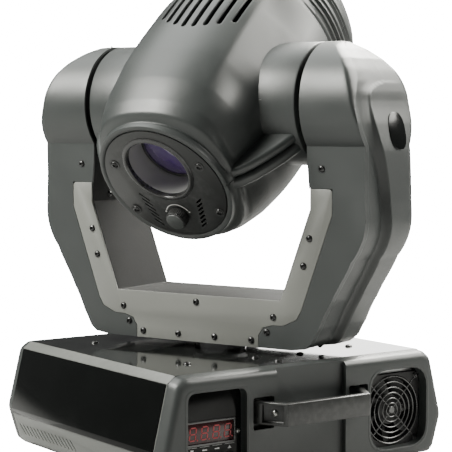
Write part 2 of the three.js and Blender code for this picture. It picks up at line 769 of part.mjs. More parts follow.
function makeYoke() {
  const group = new THREE.Group();
  const plate = yokePlate();
  const arm = armPlate();
  const cover = armCover();
  const motorHeight = axisHeight - TILT_MOTOR_DROP;
  const bearing = ring(
    "x",
    TILT_BEARING_RADIUS,
    AXLE_RADIUS + GAP,
    [ARM_INNER - 1, ARM_INNER + 7],
    [0, axisHeight],
  );
  const panBelt = belt(
    "z",
    [0, 0],
    PAN_PULLEY_RADIUS,
    [-PAN_MOTOR_OUT, 0],
    PAN_MOTOR_PULLEY_RADIUS,
    [pulleySpan[0] + 1, pulleySpan[1] - 1],
  );
  const tiltBelt = belt(
    "x",
    [0, axisHeight],
    TILT_PULLEY_RADIUS,
    [0, motorHeight],
    TILT_MOTOR_PULLEY_RADIUS,
    [tiltPulleySpan[0] + 1, tiltPulleySpan[1] - 1],
  );
  group.add(
    mesh("pan_bearing", ring("z", BEARING_RADIUS, SHAFT_RADIUS + GAP, bearingSpan), COLOURS.steel),
    mesh("yoke_bar", yokeBar(), COLOURS.steel),
    mesh("arm_plate_right", arm, COLOURS.dark),
    mesh("arm_plate_left", flip(arm, "x"), COLOURS.dark),
    mesh("yoke_front_plate", plate, COLOURS.cover),
    mesh("yoke_rear_plate", flip(plate, "y"), COLOURS.cover),
    mesh("arm_cover_right", cover, COLOURS.cover),
    mesh("arm_cover_left", flip(cover, "x"), COLOURS.cover),
    mesh("pan_motor", panMotor(), COLOURS.dark),
    mesh(
      "pan_motor_pulley",
      ring("z", PAN_MOTOR_PULLEY_RADIUS, 2.5 + GAP, pulleySpan, [-PAN_MOTOR_OUT, 0], 24),
      COLOURS.steel,
    ),
    mesh("pan_belt", panBelt, COLOURS.belt),
    mesh("tilt_motor", tiltMotor(), COLOURS.dark),
    mesh(
      "tilt_motor_pulley",
      ring("x", TILT_MOTOR_PULLEY_RADIUS, 3 + GAP, tiltPulleySpan, [0, motorHeight], 24),
      COLOURS.steel,
    ),
    mesh("tilt_belt", tiltBelt, COLOURS.belt),
    mesh("tilt_bearing_right", bearing, COLOURS.steel),
    mesh("tilt_bearing_left", flip(bearing, "x"), COLOURS.steel),
  );
  return group;
}

// ---- head ----

const collarEnd = ARM_INNER - CAP_PROUD - COLLAR_GAP;
const rearSeam = -(HEAD_REAR - REAR_CAP_LENGTH);
const optical = [0, LENS_RISE];
const headFanSpan = [HEAD_REAR - 26, HEAD_REAR - 10];
const TRAY = -45; // height of the chassis tray's underside
const CHEEK = 95; // from the middle to a chassis cheek's outer face

// Shares of the half width and half height along the head, from the front face to the rear.
const HEAD_STATIONS = [
  [1, 0.73, 0.68],
  [0.93, 0.79, 0.75],
  [0.8, 0.87, 0.83],
  [0.6, 0.94, 0.91],
  [0.3, 1, 0.97],
  [-0.1, 1, 1],
  [-0.4, 0.99, 1],
  [-0.7, 0.95, 0.96],
  [-0.9, 0.86, 0.87],
  [-1, 0.74, 0.74],
];
const HEAD_POWER = 2 / 2.3; // how square the head's cross-section is
const HEAD_SIDES = 24;

// The head's outer skin as sections along the beam, drawn in by a wall.
function headSkin(wall) {
  return HEAD_STATIONS.map(([share, wide, high]) => {
    const reach = share > 0 ? share * (HEAD_FRONT - 0.5) : -share * -HEAD_REAR;
    const y = -(reach - Math.sign(share) * wall * (Math.abs(share) === 1 ? 1 : 0));
    return Array.from({ length: HEAD_SIDES }, (_, i) => {
      const angle = ((i + 0.5) / HEAD_SIDES) * 2 * Math.PI;
      const side = Math.sign(Math.cos(angle)) * Math.abs(Math.cos(angle)) ** HEAD_POWER;
      const rise = Math.sign(Math.sin(angle)) * Math.abs(Math.sin(angle)) ** HEAD_POWER;
      return [(HEAD_HALF * wide - wall) * side, y, (HEAD_RISE * high - wall) * rise];
    });
  });
}

// The wing that runs along the seam from the front plate out to the collars.
function seamWing(inset) {
  const half = 8 - inset;
  const outline = mirrored([
    [HEAD_HALF * 0.62, -HEAD_FRONT + 8],
    [HEAD_HALF * 0.7 - inset, -HEAD_FRONT + 8],
    [collarEnd - inset, -COLLAR_RADIUS + 6 + inset],
    [collarEnd - inset, 0],
    [HEAD_HALF * 0.5, 0],
  ]);
  return prism("z", outline, [-half, half]);
}

function headShell() {
  const collar = rod("x", COLLAR_RADIUS, [-collarEnd, collarEnd]);
  const collarInside = rod("x", COLLAR_RADIUS - SHELL, [-collarEnd + SHELL, collarEnd - SHELL]);
  const outer = join(loft(headSkin(0)), collar, seamWing(0));
  const inner = join(loft(headSkin(SHELL)), collarInside, seamWing(SHELL));
  const mouth = rod("y", FRONT_PLATE_RADIUS + GAP, [-HEAD_FRONT - 5, -HEAD_FRONT + 12]);
  const axleHoles = rod("x", AXLE_RADIUS + 5, [-collarEnd - 1, collarEnd + 1]);
  return cut(outer, inner, mouth, axleHoles);
}

// The part of a solid within a box, for parting a shell into its covers.
const within = (solid, x, y, z) => solid.intersect(block(x, y, z));

function headCovers() {
  const shell = headShell();
  const wide = [-300, 300];
  const ahead = [-300, -rearSeam - GAP / 2];
  const cap = within(shell, wide, [-rearSeam + GAP / 2, 300], wide);
  return {
    top: cut(within(shell, wide, ahead, [GAP / 2, 300]), ...topSlots()),
    bottom: within(shell, wide, ahead, [-300, -GAP / 2]),
    cap: join(cut(cap, ...rearGrille()), rod("y", FAN_HUB - 8, [headFanSpan[1] + GAP, HEAD_REAR - 1])),
  };
}

const SLOT_COUNT = 8;
const SLOT_PITCH = 13;
const SLOT_WIDTH = 6;

function topSlots() {
  return Array.from({ length: SLOT_COUNT }, (_, i) => {
    const x = (i - (SLOT_COUNT - 1) / 2) * SLOT_PITCH;
    const from = -8 + Math.abs(x) * 0.35;
    return block([x - SLOT_WIDTH / 2, x + SLOT_WIDTH / 2], [from, 118], [60, 200]);
  });
}

function rearGrille() {
  return [-30, -18, -6, 6, 18, 30].map((z) => {
    const half = Math.sqrt(38 ** 2 - z ** 2);
    return block([-half, half], [HEAD_REAR - 10, HEAD_REAR + 10], [z - 3, z + 3]);
  });
}

function frontPlate() {
  const face = -HEAD_FRONT;
  const disc = rod("y", FRONT_PLATE_RADIUS, [face, face + FRAME]);
  const sight = rod("y", BEZEL_RADIUS - 2.7, [face - 1, face + FRAME + 1], optical);
  const shaft = rod("y", 3 + GAP, [face - 1, face + FRAME + 1], [0, -KNOB_DROP], SMALL_ROUND);
  const rimPosts = [-1, 1].map((side) =>
    block(
      [side * 62 - 3, side * 62 + 3],
      [face + FRAME - 0.5, face + FRAME + 8],
      [-3, 3],
    ),
  );
  return join(cut(disc, sight, shaft), ...rimPosts);
}

const barrelBack = -(HEAD_FRONT - 70);

function lensBarrel() {
  const face = -HEAD_FRONT;
  const bore = LENS_RADIUS + GAP;
  const sleeve = BEZEL_RADIUS - 3;
  const profile = [
    [bore, face - 2.3],
    [BEZEL_RADIUS, face - 2.3],
    [BEZEL_RADIUS, face - GAP],
    [sleeve, face - GAP],
    [sleeve, barrelBack],
    [bore, barrelBack],
    [bore, face - 2.3],
  ];
  return turned("y", profile, optical);
}

function frontLens() {
  const face = -HEAD_FRONT + LENS_BACK;
  const profile = [
    [0, face - 7],
    [LENS_RADIUS * 0.5, face - 5.4],
    [LENS_RADIUS * 0.85, face - 2],
    [LENS_RADIUS, face],
    [LENS_RADIUS, face + 5],
    [0, face + 5],
  ];
  return turned("y", profile, optical);
}

const chassisFront = barrelBack + GAP; // the barrel is screwed to this wall
const wheelWall = 6;
const reflectorWall = 42;
const rodAt = [36, 48];

function chassisWall(y, half, high, hole) {
  const wall = block([-half, half], [y, y + FRAME], [TRAY, high]);
  return cut(wall, rod("y", hole, [y - 1, y + FRAME + 1], optical));
}

function headChassis() {
  const tray = block([-72, 72], [chassisFront, 134], [TRAY, TRAY + FRAME]);
  const broad = block([-CHEEK, CHEEK], [-50, 50], [TRAY, TRAY + FRAME]);
  const cheek = block([CHEEK - FRAME, CHEEK], [-50, 50], [TRAY, -TRAY]);
  const rods = [-1, 1].map((side) =>
    rod("y", 3, [chassisFront + 1, wheelWall + 1], [side * rodAt[0], rodAt[1]], SMALL_ROUND),
  );
  const motors = [-1, 1].map((side) =>
    block(
      [side * WHEEL_SIDE - 16, side * WHEEL_SIDE + 16],
      [wheelWall - 22, wheelWall + 1],
      [LENS_RISE - WHEEL_DROP - 16, LENS_RISE - WHEEL_DROP + 16],
    ),
  );
  const shafts = [-1, 1].map((side) =>
    rod("y", 3 + GAP, [wheelWall - 15, wheelWall + 10], [side * WHEEL_SIDE, LENS_RISE - WHEEL_DROP], SMALL_ROUND),
  );
  const frame = join(
    tray,
    broad,
    cheek,
    flip(cheek, "x"),
    chassisWall(chassisFront, 56, 68, LENS_RADIUS - 3),
    chassisWall(wheelWall, 56, 60, 20),
    chassisWall(reflectorWall, 46, 64, 33),
    ...rods,
    ...motors,
  );
  const bores = rod("x", AXLE_BORE, [-CHEEK - 1, CHEEK + 1]);
  const passage = bores.subtract(block([-CHEEK + FRAME + 1, CHEEK - FRAME - 1], [-50, 50], [-50, 50]));
  return cut(frame, ...shafts, passage);
}

function tiltAxle(end) {
  const profile = [
    [AXLE_BORE, CHEEK + GAP],
    [AXLE_RADIUS + 13, CHEEK + GAP],
    [AXLE_RADIUS + 13, CHEEK + GAP + 4],
    [AXLE_RADIUS, CHEEK + GAP + 4],
    ...end,
    [AXLE_BORE, ARM_INNER + 26],
    [AXLE_BORE, CHEEK + GAP],
  ];
  return turned("x", profile);
}

function plainAxle() {
  return tiltAxle([[AXLE_RADIUS, ARM_INNER + 26]]);
}

function pulleyAxle() {
  const [from, to] = tiltPulleySpan;
  return tiltAxle([
    [AXLE_RADIUS, from],
    [TILT_PULLEY_RADIUS, from],
    [TILT_PULLEY_RADIUS, to],
    [AXLE_RADIUS, to],
    [AXLE_RADIUS, ARM_INNER + 26],
  ]);
}

function focusKnob() {
  const face = -HEAD_FRONT;
  const profile = [
    [0, face - 8],
    [KNOB_RADIUS - 1, face - 8],
    [KNOB_RADIUS, face - 7],
    [KNOB_RADIUS, face - GAP],
    [3, face - GAP],
    [3, face + 22],
    [0, face + 22],
  ];
  return turned("y", profile, [0, -KNOB_DROP], 24);
}

const carriageAt = -38;

function focusCarriage() {
  const span = [carriageAt, carriageAt + 4];
  const plate = block([-44, 44], span, [-4, 56]);
  const rodHoles = [-1, 1].map((side) =>
    rod("y", 3 + GAP, [span[0] - 1, span[1] + 1], [side * rodAt[0], rodAt[1]], SMALL_ROUND),
  );
  const lens = turned(
    "y",
    [
      [0, carriageAt - 5],
      [14, carriageAt - 3.4],
      [22, carriageAt + 1],
      [22, carriageAt + 3],
      [0, carriageAt + 3],
    ],
    optical,
    24,
  );
  return join(cut(plate, ...rodHoles), lens);
}

// A wheel of round openings, one of which lies on the optical axis, with its own shaft.
function effectWheel(side, y, openingRadius, count) {
  const centre = [side * WHEEL_SIDE, LENS_RISE - WHEEL_DROP];
  const reach = Math.hypot(WHEEL_SIDE, WHEEL_DROP);
  const start = Math.atan2(WHEEL_DROP, -side * WHEEL_SIDE);
  const disc = rod("y", WHEEL_RADIUS, [y, y + 1.5], centre);
  const holes = Array.from({ length: count }, (_, i) => {
    const angle = start + (i / count) * 2 * Math.PI;
    const at = [centre[0] + reach * Math.cos(angle), centre[1] + reach * Math.sin(angle)];
    return rod("y", openingRadius, [y - 1, y + 3], at, SMALL_ROUND);
  });
  return join(cut(disc, ...holes), rod("y", 3, [wheelWall - 12, y + 3], centre, SMALL_ROUND));
}

function reflector() {
  const mouth = reflectorWall + FRAME + GAP;
  const profile = [
    [35, mouth],
    [41, mouth],
    [41, mouth + 2],
    [38, mouth + 4],
    [33, mouth + 26],
    [23, mouth + 44],
    [12, mouth + 52],
    [10, mouth + 52],
    [10, mouth + 49],
    [21, mouth + 42],
    [31, mouth + 25],
    [35, mouth],
  ];
  return turned("y", profile, optical, 24);
}

const lampBase = reflectorWall + 62;

function lamp() {
  const profile = [
    [0, lampBase - 44],
    [3, lampBase - 42],
    [6, lampBase - 34],
    [6, lampBase - 14],
    [7.5, lampBase - 12],
    [7.5, lampBase + 12],
    [0, lampBase + 12],
  ];
  return turned("y", profile, optical, SMALL_ROUND);
}

function lampHolder() {
  const body = block([-15, 15], [lampBase + 2, lampBase + 22], [TRAY + FRAME + GAP, LENS_RISE + 16]);
  return cut(body, rod("y", 7.5 + GAP, [lampBase, lampBase + 13], optical, SMALL_ROUND));
}

function makeHead() {
  const group = new THREE.Group();
  const covers = headCovers();
  group.add(
    mesh("head_top_cover", covers.top, COLOURS.cover),
    mesh("head_bottom_cover", covers.bottom, COLOURS.cover),
    mesh("head_rear_cap", covers.cap, COLOURS.cover),
    mesh("head_front_plate", frontPlate(), COLOURS.dark),
    mesh("lens_barrel", lensBarrel(), COLOURS.steel),
    mesh("front_lens", frontLens(), COLOURS.glass),
    mesh("head_chassis", headChassis(), COLOURS.steel),
    mesh("tilt_axle_right", pulleyAxle(), COLOURS.steel),
    mesh("tilt_axle_left", flip(plainAxle(), "x"), COLOURS.steel),
    mesh("focus_knob", focusKnob(), COLOURS.dark),
    mesh("focus_carriage", focusCarriage(), COLOURS.dark),
    mesh("colour_wheel", effectWheel(-1, wheelWall + 8, 8, 9), COLOURS.light),
    mesh("gobo_wheel", effectWheel(1, wheelWall + 14, 8, 8), COLOURS.light),
    mesh("reflector", reflector(), COLOURS.polished),
    mesh("lamp", lamp(), COLOURS.white),
    mesh("lamp_holder", lampHolder(), COLOURS.white),
    mesh("head_fan_rotor", fanRotor([0, 0], headFanSpan), COLOURS.dark),
  );
  return group;
}

// ---- the whole light ----

const head = makeHead();
head.position.set(0, 0, axisHeight);
head.rotation.x = THREE.MathUtils.degToRad(TILT_REST);

const yoke = makeYoke();
yoke.rotation.z = THREE.MathUtils.degToRad(PAN_REST);
yoke.add(head);

const light = new THREE.Group();
light.add(makeBase(), yoke);
export default light;
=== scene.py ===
"""Moving head light: the finished surfaces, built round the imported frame."""

import json
import logging
import math
from dataclasses import dataclass, field
from enum import Enum
from typing import Callable, Sequence

import bpy
from mathutils import Matrix, Vector


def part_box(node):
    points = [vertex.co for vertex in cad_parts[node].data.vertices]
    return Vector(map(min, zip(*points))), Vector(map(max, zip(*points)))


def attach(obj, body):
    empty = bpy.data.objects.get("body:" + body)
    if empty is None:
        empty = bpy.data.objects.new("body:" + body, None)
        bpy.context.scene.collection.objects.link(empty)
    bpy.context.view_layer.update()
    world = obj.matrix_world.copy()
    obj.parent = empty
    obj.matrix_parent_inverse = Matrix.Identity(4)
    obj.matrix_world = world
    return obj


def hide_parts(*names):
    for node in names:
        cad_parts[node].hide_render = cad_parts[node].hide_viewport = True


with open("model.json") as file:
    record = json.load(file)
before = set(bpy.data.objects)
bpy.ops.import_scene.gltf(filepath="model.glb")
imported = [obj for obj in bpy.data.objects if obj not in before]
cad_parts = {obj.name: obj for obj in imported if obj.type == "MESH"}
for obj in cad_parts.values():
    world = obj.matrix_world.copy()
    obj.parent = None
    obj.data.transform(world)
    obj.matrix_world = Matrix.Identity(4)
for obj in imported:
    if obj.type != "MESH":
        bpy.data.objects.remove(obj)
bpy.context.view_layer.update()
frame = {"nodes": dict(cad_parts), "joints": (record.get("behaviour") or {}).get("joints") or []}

LOG = logging.getLogger("moving_head_light")
Piece = bpy.types.Object
Socket = bpy.types.NodeSocket
Tree = bpy.types.NodeTree
Pair = tuple[float, float]
Point = Sequence[float]
Line = Sequence[Pair]


# ---------------------------------------------------------------- bench tools


def pick(*pieces: Piece) -> None:
    """Selects only these pieces and makes the first one active.

    Args:
        pieces: what the next operator acts on.
    """
    bpy.ops.object.select_all(action="DESELECT")
    for piece in pieces:
        piece.select_set(True)
    bpy.context.view_layer.objects.active = pieces[0]


def named(name: str) -> Piece:
    """Names the primitive that was just added.

    Args:
        name: the piece's name.

    Returns:
        The active object, under its new name.
    """
    piece = bpy.context.active_object
    piece.name = name
    piece.data.name = name
    return piece


def settle(piece: Piece) -> Piece:
    """Moves an object's place, turn and scale into its mesh."""
    pick(piece)
    bpy.ops.object.transform_apply(location=True, rotation=True, scale=True)
    return piece


def block(name: str, low: Point, high: Point) -> Piece:
    """A box between two corners.

    Args:
        name: the piece's name.
        low: its lowest corner.
        high: its highest corner.

    Returns:
        The box.
    """
    bpy.ops.object.select_all(action="DESELECT")
    middle = [(a + b) / 2 for a, b in zip(low, high)]
    bpy.ops.mesh.primitive_cube_add(size=1, location=middle)
    piece = named(name)
    piece.scale = [b - a for a, b in zip(low, high)]
    return settle(piece)


def rod(name: str, radius: float, start: Point, end: Point, sides: int = 32) -> Piece:
    """A round bar between two points.

    Args:
        name: the piece's name.
        radius: its radius.
        start: the middle of one end.
        end: the middle of the other end.
        sides: how many flats the round has.

    Returns:
        The bar.
    """
    bpy.ops.object.select_all(action="DESELECT")
    along = Vector(end) - Vector(start)
    bpy.ops.mesh.primitive_cylinder_add(
        vertices=sides, radius=radius, depth=along.length, location=(Vector(start) + Vector(end)) / 2
    )
    piece = named(name)
    piece.rotation_euler = along.to_track_quat("Z", "Y").to_euler()
    return settle(piece)


def hoop(name: str, radius: float, wire: float, centre: Point, axis: Point) -> Piece:
    """A ring of round wire.

    Args:
        name: the piece's name.
        radius: from the ring's middle to the wire's middle.
        wire: the wire's radius.
        centre: the ring's middle.
        axis: the direction that the ring faces.

    Returns:
        The ring.
    """
    bpy.ops.object.select_all(action="DESELECT")
    bpy.ops.mesh.primitive_torus_add(
        major_radius=radius, minor_radius=wire, major_segments=72, minor_segments=10, location=centre
    )
    piece = named(name)
    piece.rotation_euler = Vector(axis).to_track_quat("Z", "Y").to_euler()
    return settle(piece)


def sheet_of(name: str, corners: Sequence[Point], faces: Sequence[Sequence[int]]) -> Piece:
    """A flat or folded start made of given corners.

    Args:
        name: the piece's name.
        corners: the vertices.
        faces: each face's corners by number; an empty list leaves a line of edges.

    Returns:
        The object, at the origin.
    """
    mesh = bpy.data.meshes.new(name)
    edges = [] if faces else [(i, i + 1) for i in range(len(corners) - 1)]
    mesh.from_pydata([tuple(c) for c in corners], edges, [tuple(f) for f in faces])
    piece = bpy.data.objects.new(name, mesh)
    bpy.context.scene.collection.objects.link(piece)
    return piece


AXES = {
    "x": Matrix(((0, 0, 1, 0), (1, 0, 0, 0), (0, 1, 0, 0), (0, 0, 0, 1))),
    "y": Matrix(((1, 0, 0, 0), (0, 0, 1, 0), (0, 1, 0, 0), (0, 0, 0, 1))), "z": Matrix.Identity(4),
}


def edit(piece: Piece, *steps: Callable[[], object]) -> Piece:
    """Runs edit-mode operators on the whole of a piece.

    Args:
        piece: the piece.
        steps: calls that each run one operator.

    Returns:
        The same piece, back in object mode.
    """
    pick(piece)
    bpy.ops.object.mode_set(mode="EDIT")
    bpy.ops.mesh.select_all(action="SELECT")
    for step in steps:
        step()
    bpy.ops.object.mode_set(mode="OBJECT")
    return piece


def face_outwards() -> None:
    """Merges doubled points and points every face outwards; for use inside edit()."""
    bpy.ops.mesh.remove_doubles(threshold=1e-6)
    bpy.ops.mesh.normals_make_consistent(inside=False)


def slab(name: str, outline: Line, span: Pair, axis: str) -> Piece:
    """A flat outline extruded along an axis.

    Args:
        name: the piece's name.
        outline: corners in the two other axes, in their order: (y, z), (x, z) or (x, y).
        span: where it starts and ends along the axis.
        axis: "x", "y" or "z".

    Returns:
        The slab.
    """
    corners = [(a, b, span[0]) for a, b in outline]
    piece = sheet_of(name, corners, [range(len(corners))])
    move = {"value": (0, 0, span[1] - span[0])}
    edit(piece, lambda: bpy.ops.mesh.extrude_region_move(TRANSFORM_OT_translate=move))
    piece.data.transform(AXES[axis])
    return edit(piece, face_outwards)


def turned(name: str, profile: Line, axis: str = "z", centre: Point = (0, 0, 0),
    steps: int = 64) -> Piece:
    """A profile spun round an axis, as on a lathe.

    Args:
        name: the piece's name.
        profile: (radius, place along the axis) points; it closes on itself or ends on the axis.
        axis: "x", "y" or "z".
        centre: a point that the axis runs through.
        steps: how many steps one turn has.

    Returns:
        The turned piece.
    """
    piece = sheet_of(name, [(r, 0, h) for r, h in profile], [])
    spin = {"steps": steps, "angle": math.tau, "center": (0, 0, 0), "axis": (0, 0, 1)}
    edit(piece, lambda: bpy.ops.mesh.spin(**spin), face_outwards)
    piece.data.transform(Matrix.Translation(centre) @ AXES[axis])
    return edit(piece, face_outwards)


def skin(name: str, rows: Sequence[Sequence[Point]], round_about: bool = False) -> Piece:
    """A grid laid over rows of equally many points.

    Args:
        name: the piece's name.
        rows: the points, row by row.
        round_about: whether each row closes on itself.

    Returns:
        The open skin.
    """
    lines = [list(row) + ([row[0]] if round_about else []) for row in rows]
    across, along = len(lines[0]) - 1, len(lines) - 1
    bpy.ops.object.select_all(action="DESELECT")
    bpy.ops.mesh.primitive_grid_add(x_subdivisions=across, y_subdivisions=along, size=2)
    piece = named(name)
    places = [c for line in lines for point in line for c in point]
    piece.data.vertices.foreach_set("co", places)
    piece.data.update()
    return edit(piece, lambda: bpy.ops.mesh.remove_doubles(threshold=1e-6))


def apply_modifier(piece: Piece, kind: str, **settings: object) -> Piece:
    """Adds one modifier to a piece and applies it.

    Args:
        piece: the piece.
        kind: the modifier's type.
        settings: its values.

    Returns:
        The same piece.
    """
    pick(piece)
    modifier = piece.modifiers.new(kind.lower(), kind)
    for key, value in settings.items():
        setattr(modifier, key, value)
    bpy.ops.object.modifier_apply(modifier=modifier.name)
    return piece


def soften(piece: Piece, width: float, segments: int = 2, angle: float = 35) -> Piece:
    """Rounds a piece's sharp edges.

    Args:
        piece: the piece.
        width: the rounding's width.
        segments: its steps.
        angle: edges sharper than this many degrees are rounded.

    Returns:
        The same piece.
    """
    limit = math.radians(angle)
    return apply_modifier(
        piece, "BEVEL", width=width, segments=segments, limit_method="ANGLE", angle_limit=limit,
        use_clamp_overlap=True
    )


def thicken(piece: Piece, wall: float) -> Piece:
    """Gives an open skin a wall on its inner side."""
    return apply_modifier(piece, "SOLIDIFY", thickness=wall, offset=-1, use_even_offset=False)


def unite(name: str, *pieces: Piece) -> Piece:
    """Puts several pieces into one object.

    Args:
        name: the new piece's name.
        pieces: what goes into it.

    Returns:
        The one piece.
    """
    pick(*pieces)
    if len(pieces) > 1:
        bpy.ops.object.join()
    return named(name)


def carve(piece: Piece, *tools: Piece) -> Piece:
    """Cuts tools out of a piece and removes them.

    Args:
        piece: what is cut.
        tools: what is taken away from it.

    Returns:
        The same piece.
    """
    tool = unite("cutter", *tools)
    apply_modifier(piece, "BOOLEAN", operation="DIFFERENCE", solver="EXACT", use_self=True, object=tool)
    bpy.data.objects.remove(tool)
    return piece


def copy_of(piece: Piece, name: str, move: Matrix) -> Piece:
    """A second piece of the same shape, with a mesh of its own.

    Args:
        piece: the pattern.
        name: the copy's name.
        move: where the copy goes, from the pattern's place.

    Returns:
        The copy.
    """
    pick(piece)
    bpy.ops.object.duplicate(linked=False)
    copy = named(name)
    copy.data.transform(move)
    if move.determinant() < 0:
        copy.data.flip_normals()
    return copy


def mirrored(outline: Line) -> list[Pair]:
    """An outline followed by its mirror image on the other side of the second axis."""
    return [*outline, *[(-a, b) for a, b in reversed(outline)]]


def rounded(outline: Line, radius: float, steps: int = 5) -> list[Pair]:
    """An outline with each corner rounded off.

    Args:
        outline: the corners.
        radius: how far from a corner its round starts, at most a third of a side.
        steps: how many steps a round has.

    Returns:
        The new outline.
    """
    made = []
    for i, corner in enumerate(outline):
        here = Vector(corner)
        before, after = Vector(outline[i - 1]), Vector(outline[(i + 1) % len(outline)])
        start = here + (before - here).normalized() * min(radius, (before - here).length / 3)
        end = here + (after - here).normalized() * min(radius, (after - here).length / 3)
        for k in range(steps + 1):
            t = k / steps
            made.append(tuple((1 - t) ** 2 * start + 2 * t * (1 - t) * here + t * t * end))
    return made


def rectangle(x: Pair, z: Pair) -> list[Pair]:
    """The four corners of an upright rectangle."""
    return [(x[0], z[0]), (x[1], z[0]), (x[1], z[1]), (x[0], z[1])]


def polar(radius: float, turn: float) -> Pair:
    """The point at a radius and an angle."""
    return radius * math.cos(turn), radius * math.sin(turn)


def ease(value: float, low: float, high: float) -> float:
    """0 below low, 1 above high, and a smooth step between them."""
    t = min(1.0, max(0.0, (value - low) / (high - low)))
    return t * t * (3 - 2 * t)


def along(stations: Sequence[tuple[float, ...]], place: float) -> list[float]:
    """Reads a table of stations at a place between two of them, on a smooth curve.

    Args:
        stations: rows of (place, value, ...) in order.
        place: where to read.

    Returns:
        The values there.
    """
    last = len(stations) - 2
    i = max((k for k in range(last + 1) if stations[k][0] <= place), default=0)
    four = [stations[max(0, i - 1)], stations[i], stations[i + 1], stations[min(last + 1, i + 2)]]
    t = min(1.0, max(0.0, (place - four[1][0]) / (four[2][0] - four[1][0])))
    made = []
    for a, b, c, d in zip(*[row[1:] for row in four]):
        into, out = (c - a) / 2, (d - b) / 2
        made.append(
            (2 * t**3 - 3 * t**2 + 1) * b + (t**3 - 2 * t**2 + t) * into
            + (3 * t**2 - 2 * t**3) * c + (t**3 - t**2) * out
        )
    return made


# ------------------------------------------------------------------- finishes


class Grain(Enum):
    """How a surface was made, which sets the fine pattern on it."""

    MOULDED = "moulded"
    SPRAYED = "sprayed"
    BRUSHED = "brushed"
    TURNED = "turned"
    WORN_RUBBER = "worn_rubber"


def new_group(name: str, inputs: dict[str, float], outputs: Sequence[str]) -> Tree:
    """An empty shader node group with number inputs and outputs, and an input for the place on the surface.

    Args:
        name: the group's name.
        inputs: each input's name and its value where nothing is linked.
        outputs: each output's name.

    Returns:
        The group.
    """
    group = bpy.data.node_groups.new(name, "ShaderNodeTree")
    group.interface.new_socket("Place", in_out="INPUT", socket_type="NodeSocketVector")
    for key, value in inputs.items():
        socket = group.interface.new_socket(key, in_out="INPUT", socket_type="NodeSocketFloat")
        socket.default_value = value
    for key in outputs:
        group.interface.new_socket(key, in_out="OUTPUT", socket_type="NodeSocketFloat")
    group.nodes.new("NodeGroupInput").name = "in"
    group.nodes.new("NodeGroupOutput").name = "out"
    return group


class Wiring:
    """Adds nodes to one tree and links them by name."""

    def __init__(self, tree: Tree) -> None:
        """Keeps the tree."""
        self.tree = tree

    def add(self, kind: str, values: dict | None = None, **settings: object) -> bpy.types.Node:
        """Adds a node.

        Args:
            kind: the node's type, without "ShaderNode".
            values: a value or a link's source for each input, by name or number.
            settings: the node's own properties.

        Returns:
            The node.
        """
        node = self.tree.nodes.new("ShaderNode" + kind)
        for key, value in settings.items():
            setattr(node, key, value)
        return self.feed(node, values or {})

    def feed(self, node: bpy.types.Node, values: dict) -> bpy.types.Node:
        """Links or sets a node's inputs."""
        for key, value in values.items():
            if isinstance(value, Socket):
                self.tree.links.new(value, node.inputs[key])
            else:
                node.inputs[key].default_value = value
        return node

    def maths(self, operation: str, *values: object) -> Socket:
        """The result of one maths node."""
        return self.add("Math", dict(enumerate(values)), operation=operation).outputs[0]

    def noise(self, place: object, scale: object, detail: float = 3,
        rough: float = 0.55) -> Socket:
        """A noise pattern's grey value."""
        values = {"Vector": place, "Scale": scale, "Detail": detail, "Roughness": rough}
        return self.add("TexNoise", values).outputs[0]

    def spread(self, value: object, low: float, high: float, to_low: object = 0,
        to_high: object = 1) -> Socket:
        """Maps a value from one range to another, held within it."""
        values = {0: value, 1: low, 2: high, 3: to_low, 4: to_high}
        return self.add("MapRange", values, clamp=True).outputs[0]

    def mix(self, share: object, first: object, second: object) -> Socket:
        """Mixes two colours."""
        return self.add("Mix", {0: share, 6: first, 7: second}, data_type="RGBA").outputs[2]

    def group(self, tree: Tree, values: dict) -> bpy.types.Node:
        """Places a node group.

        Args:
            tree: the group.
            values: a value or a link's source for each of its inputs.

        Returns:
            The group's node.
        """
        node = self.tree.nodes.new("ShaderNodeGroup")
        node.node_tree = tree
        return self.feed(node, values)


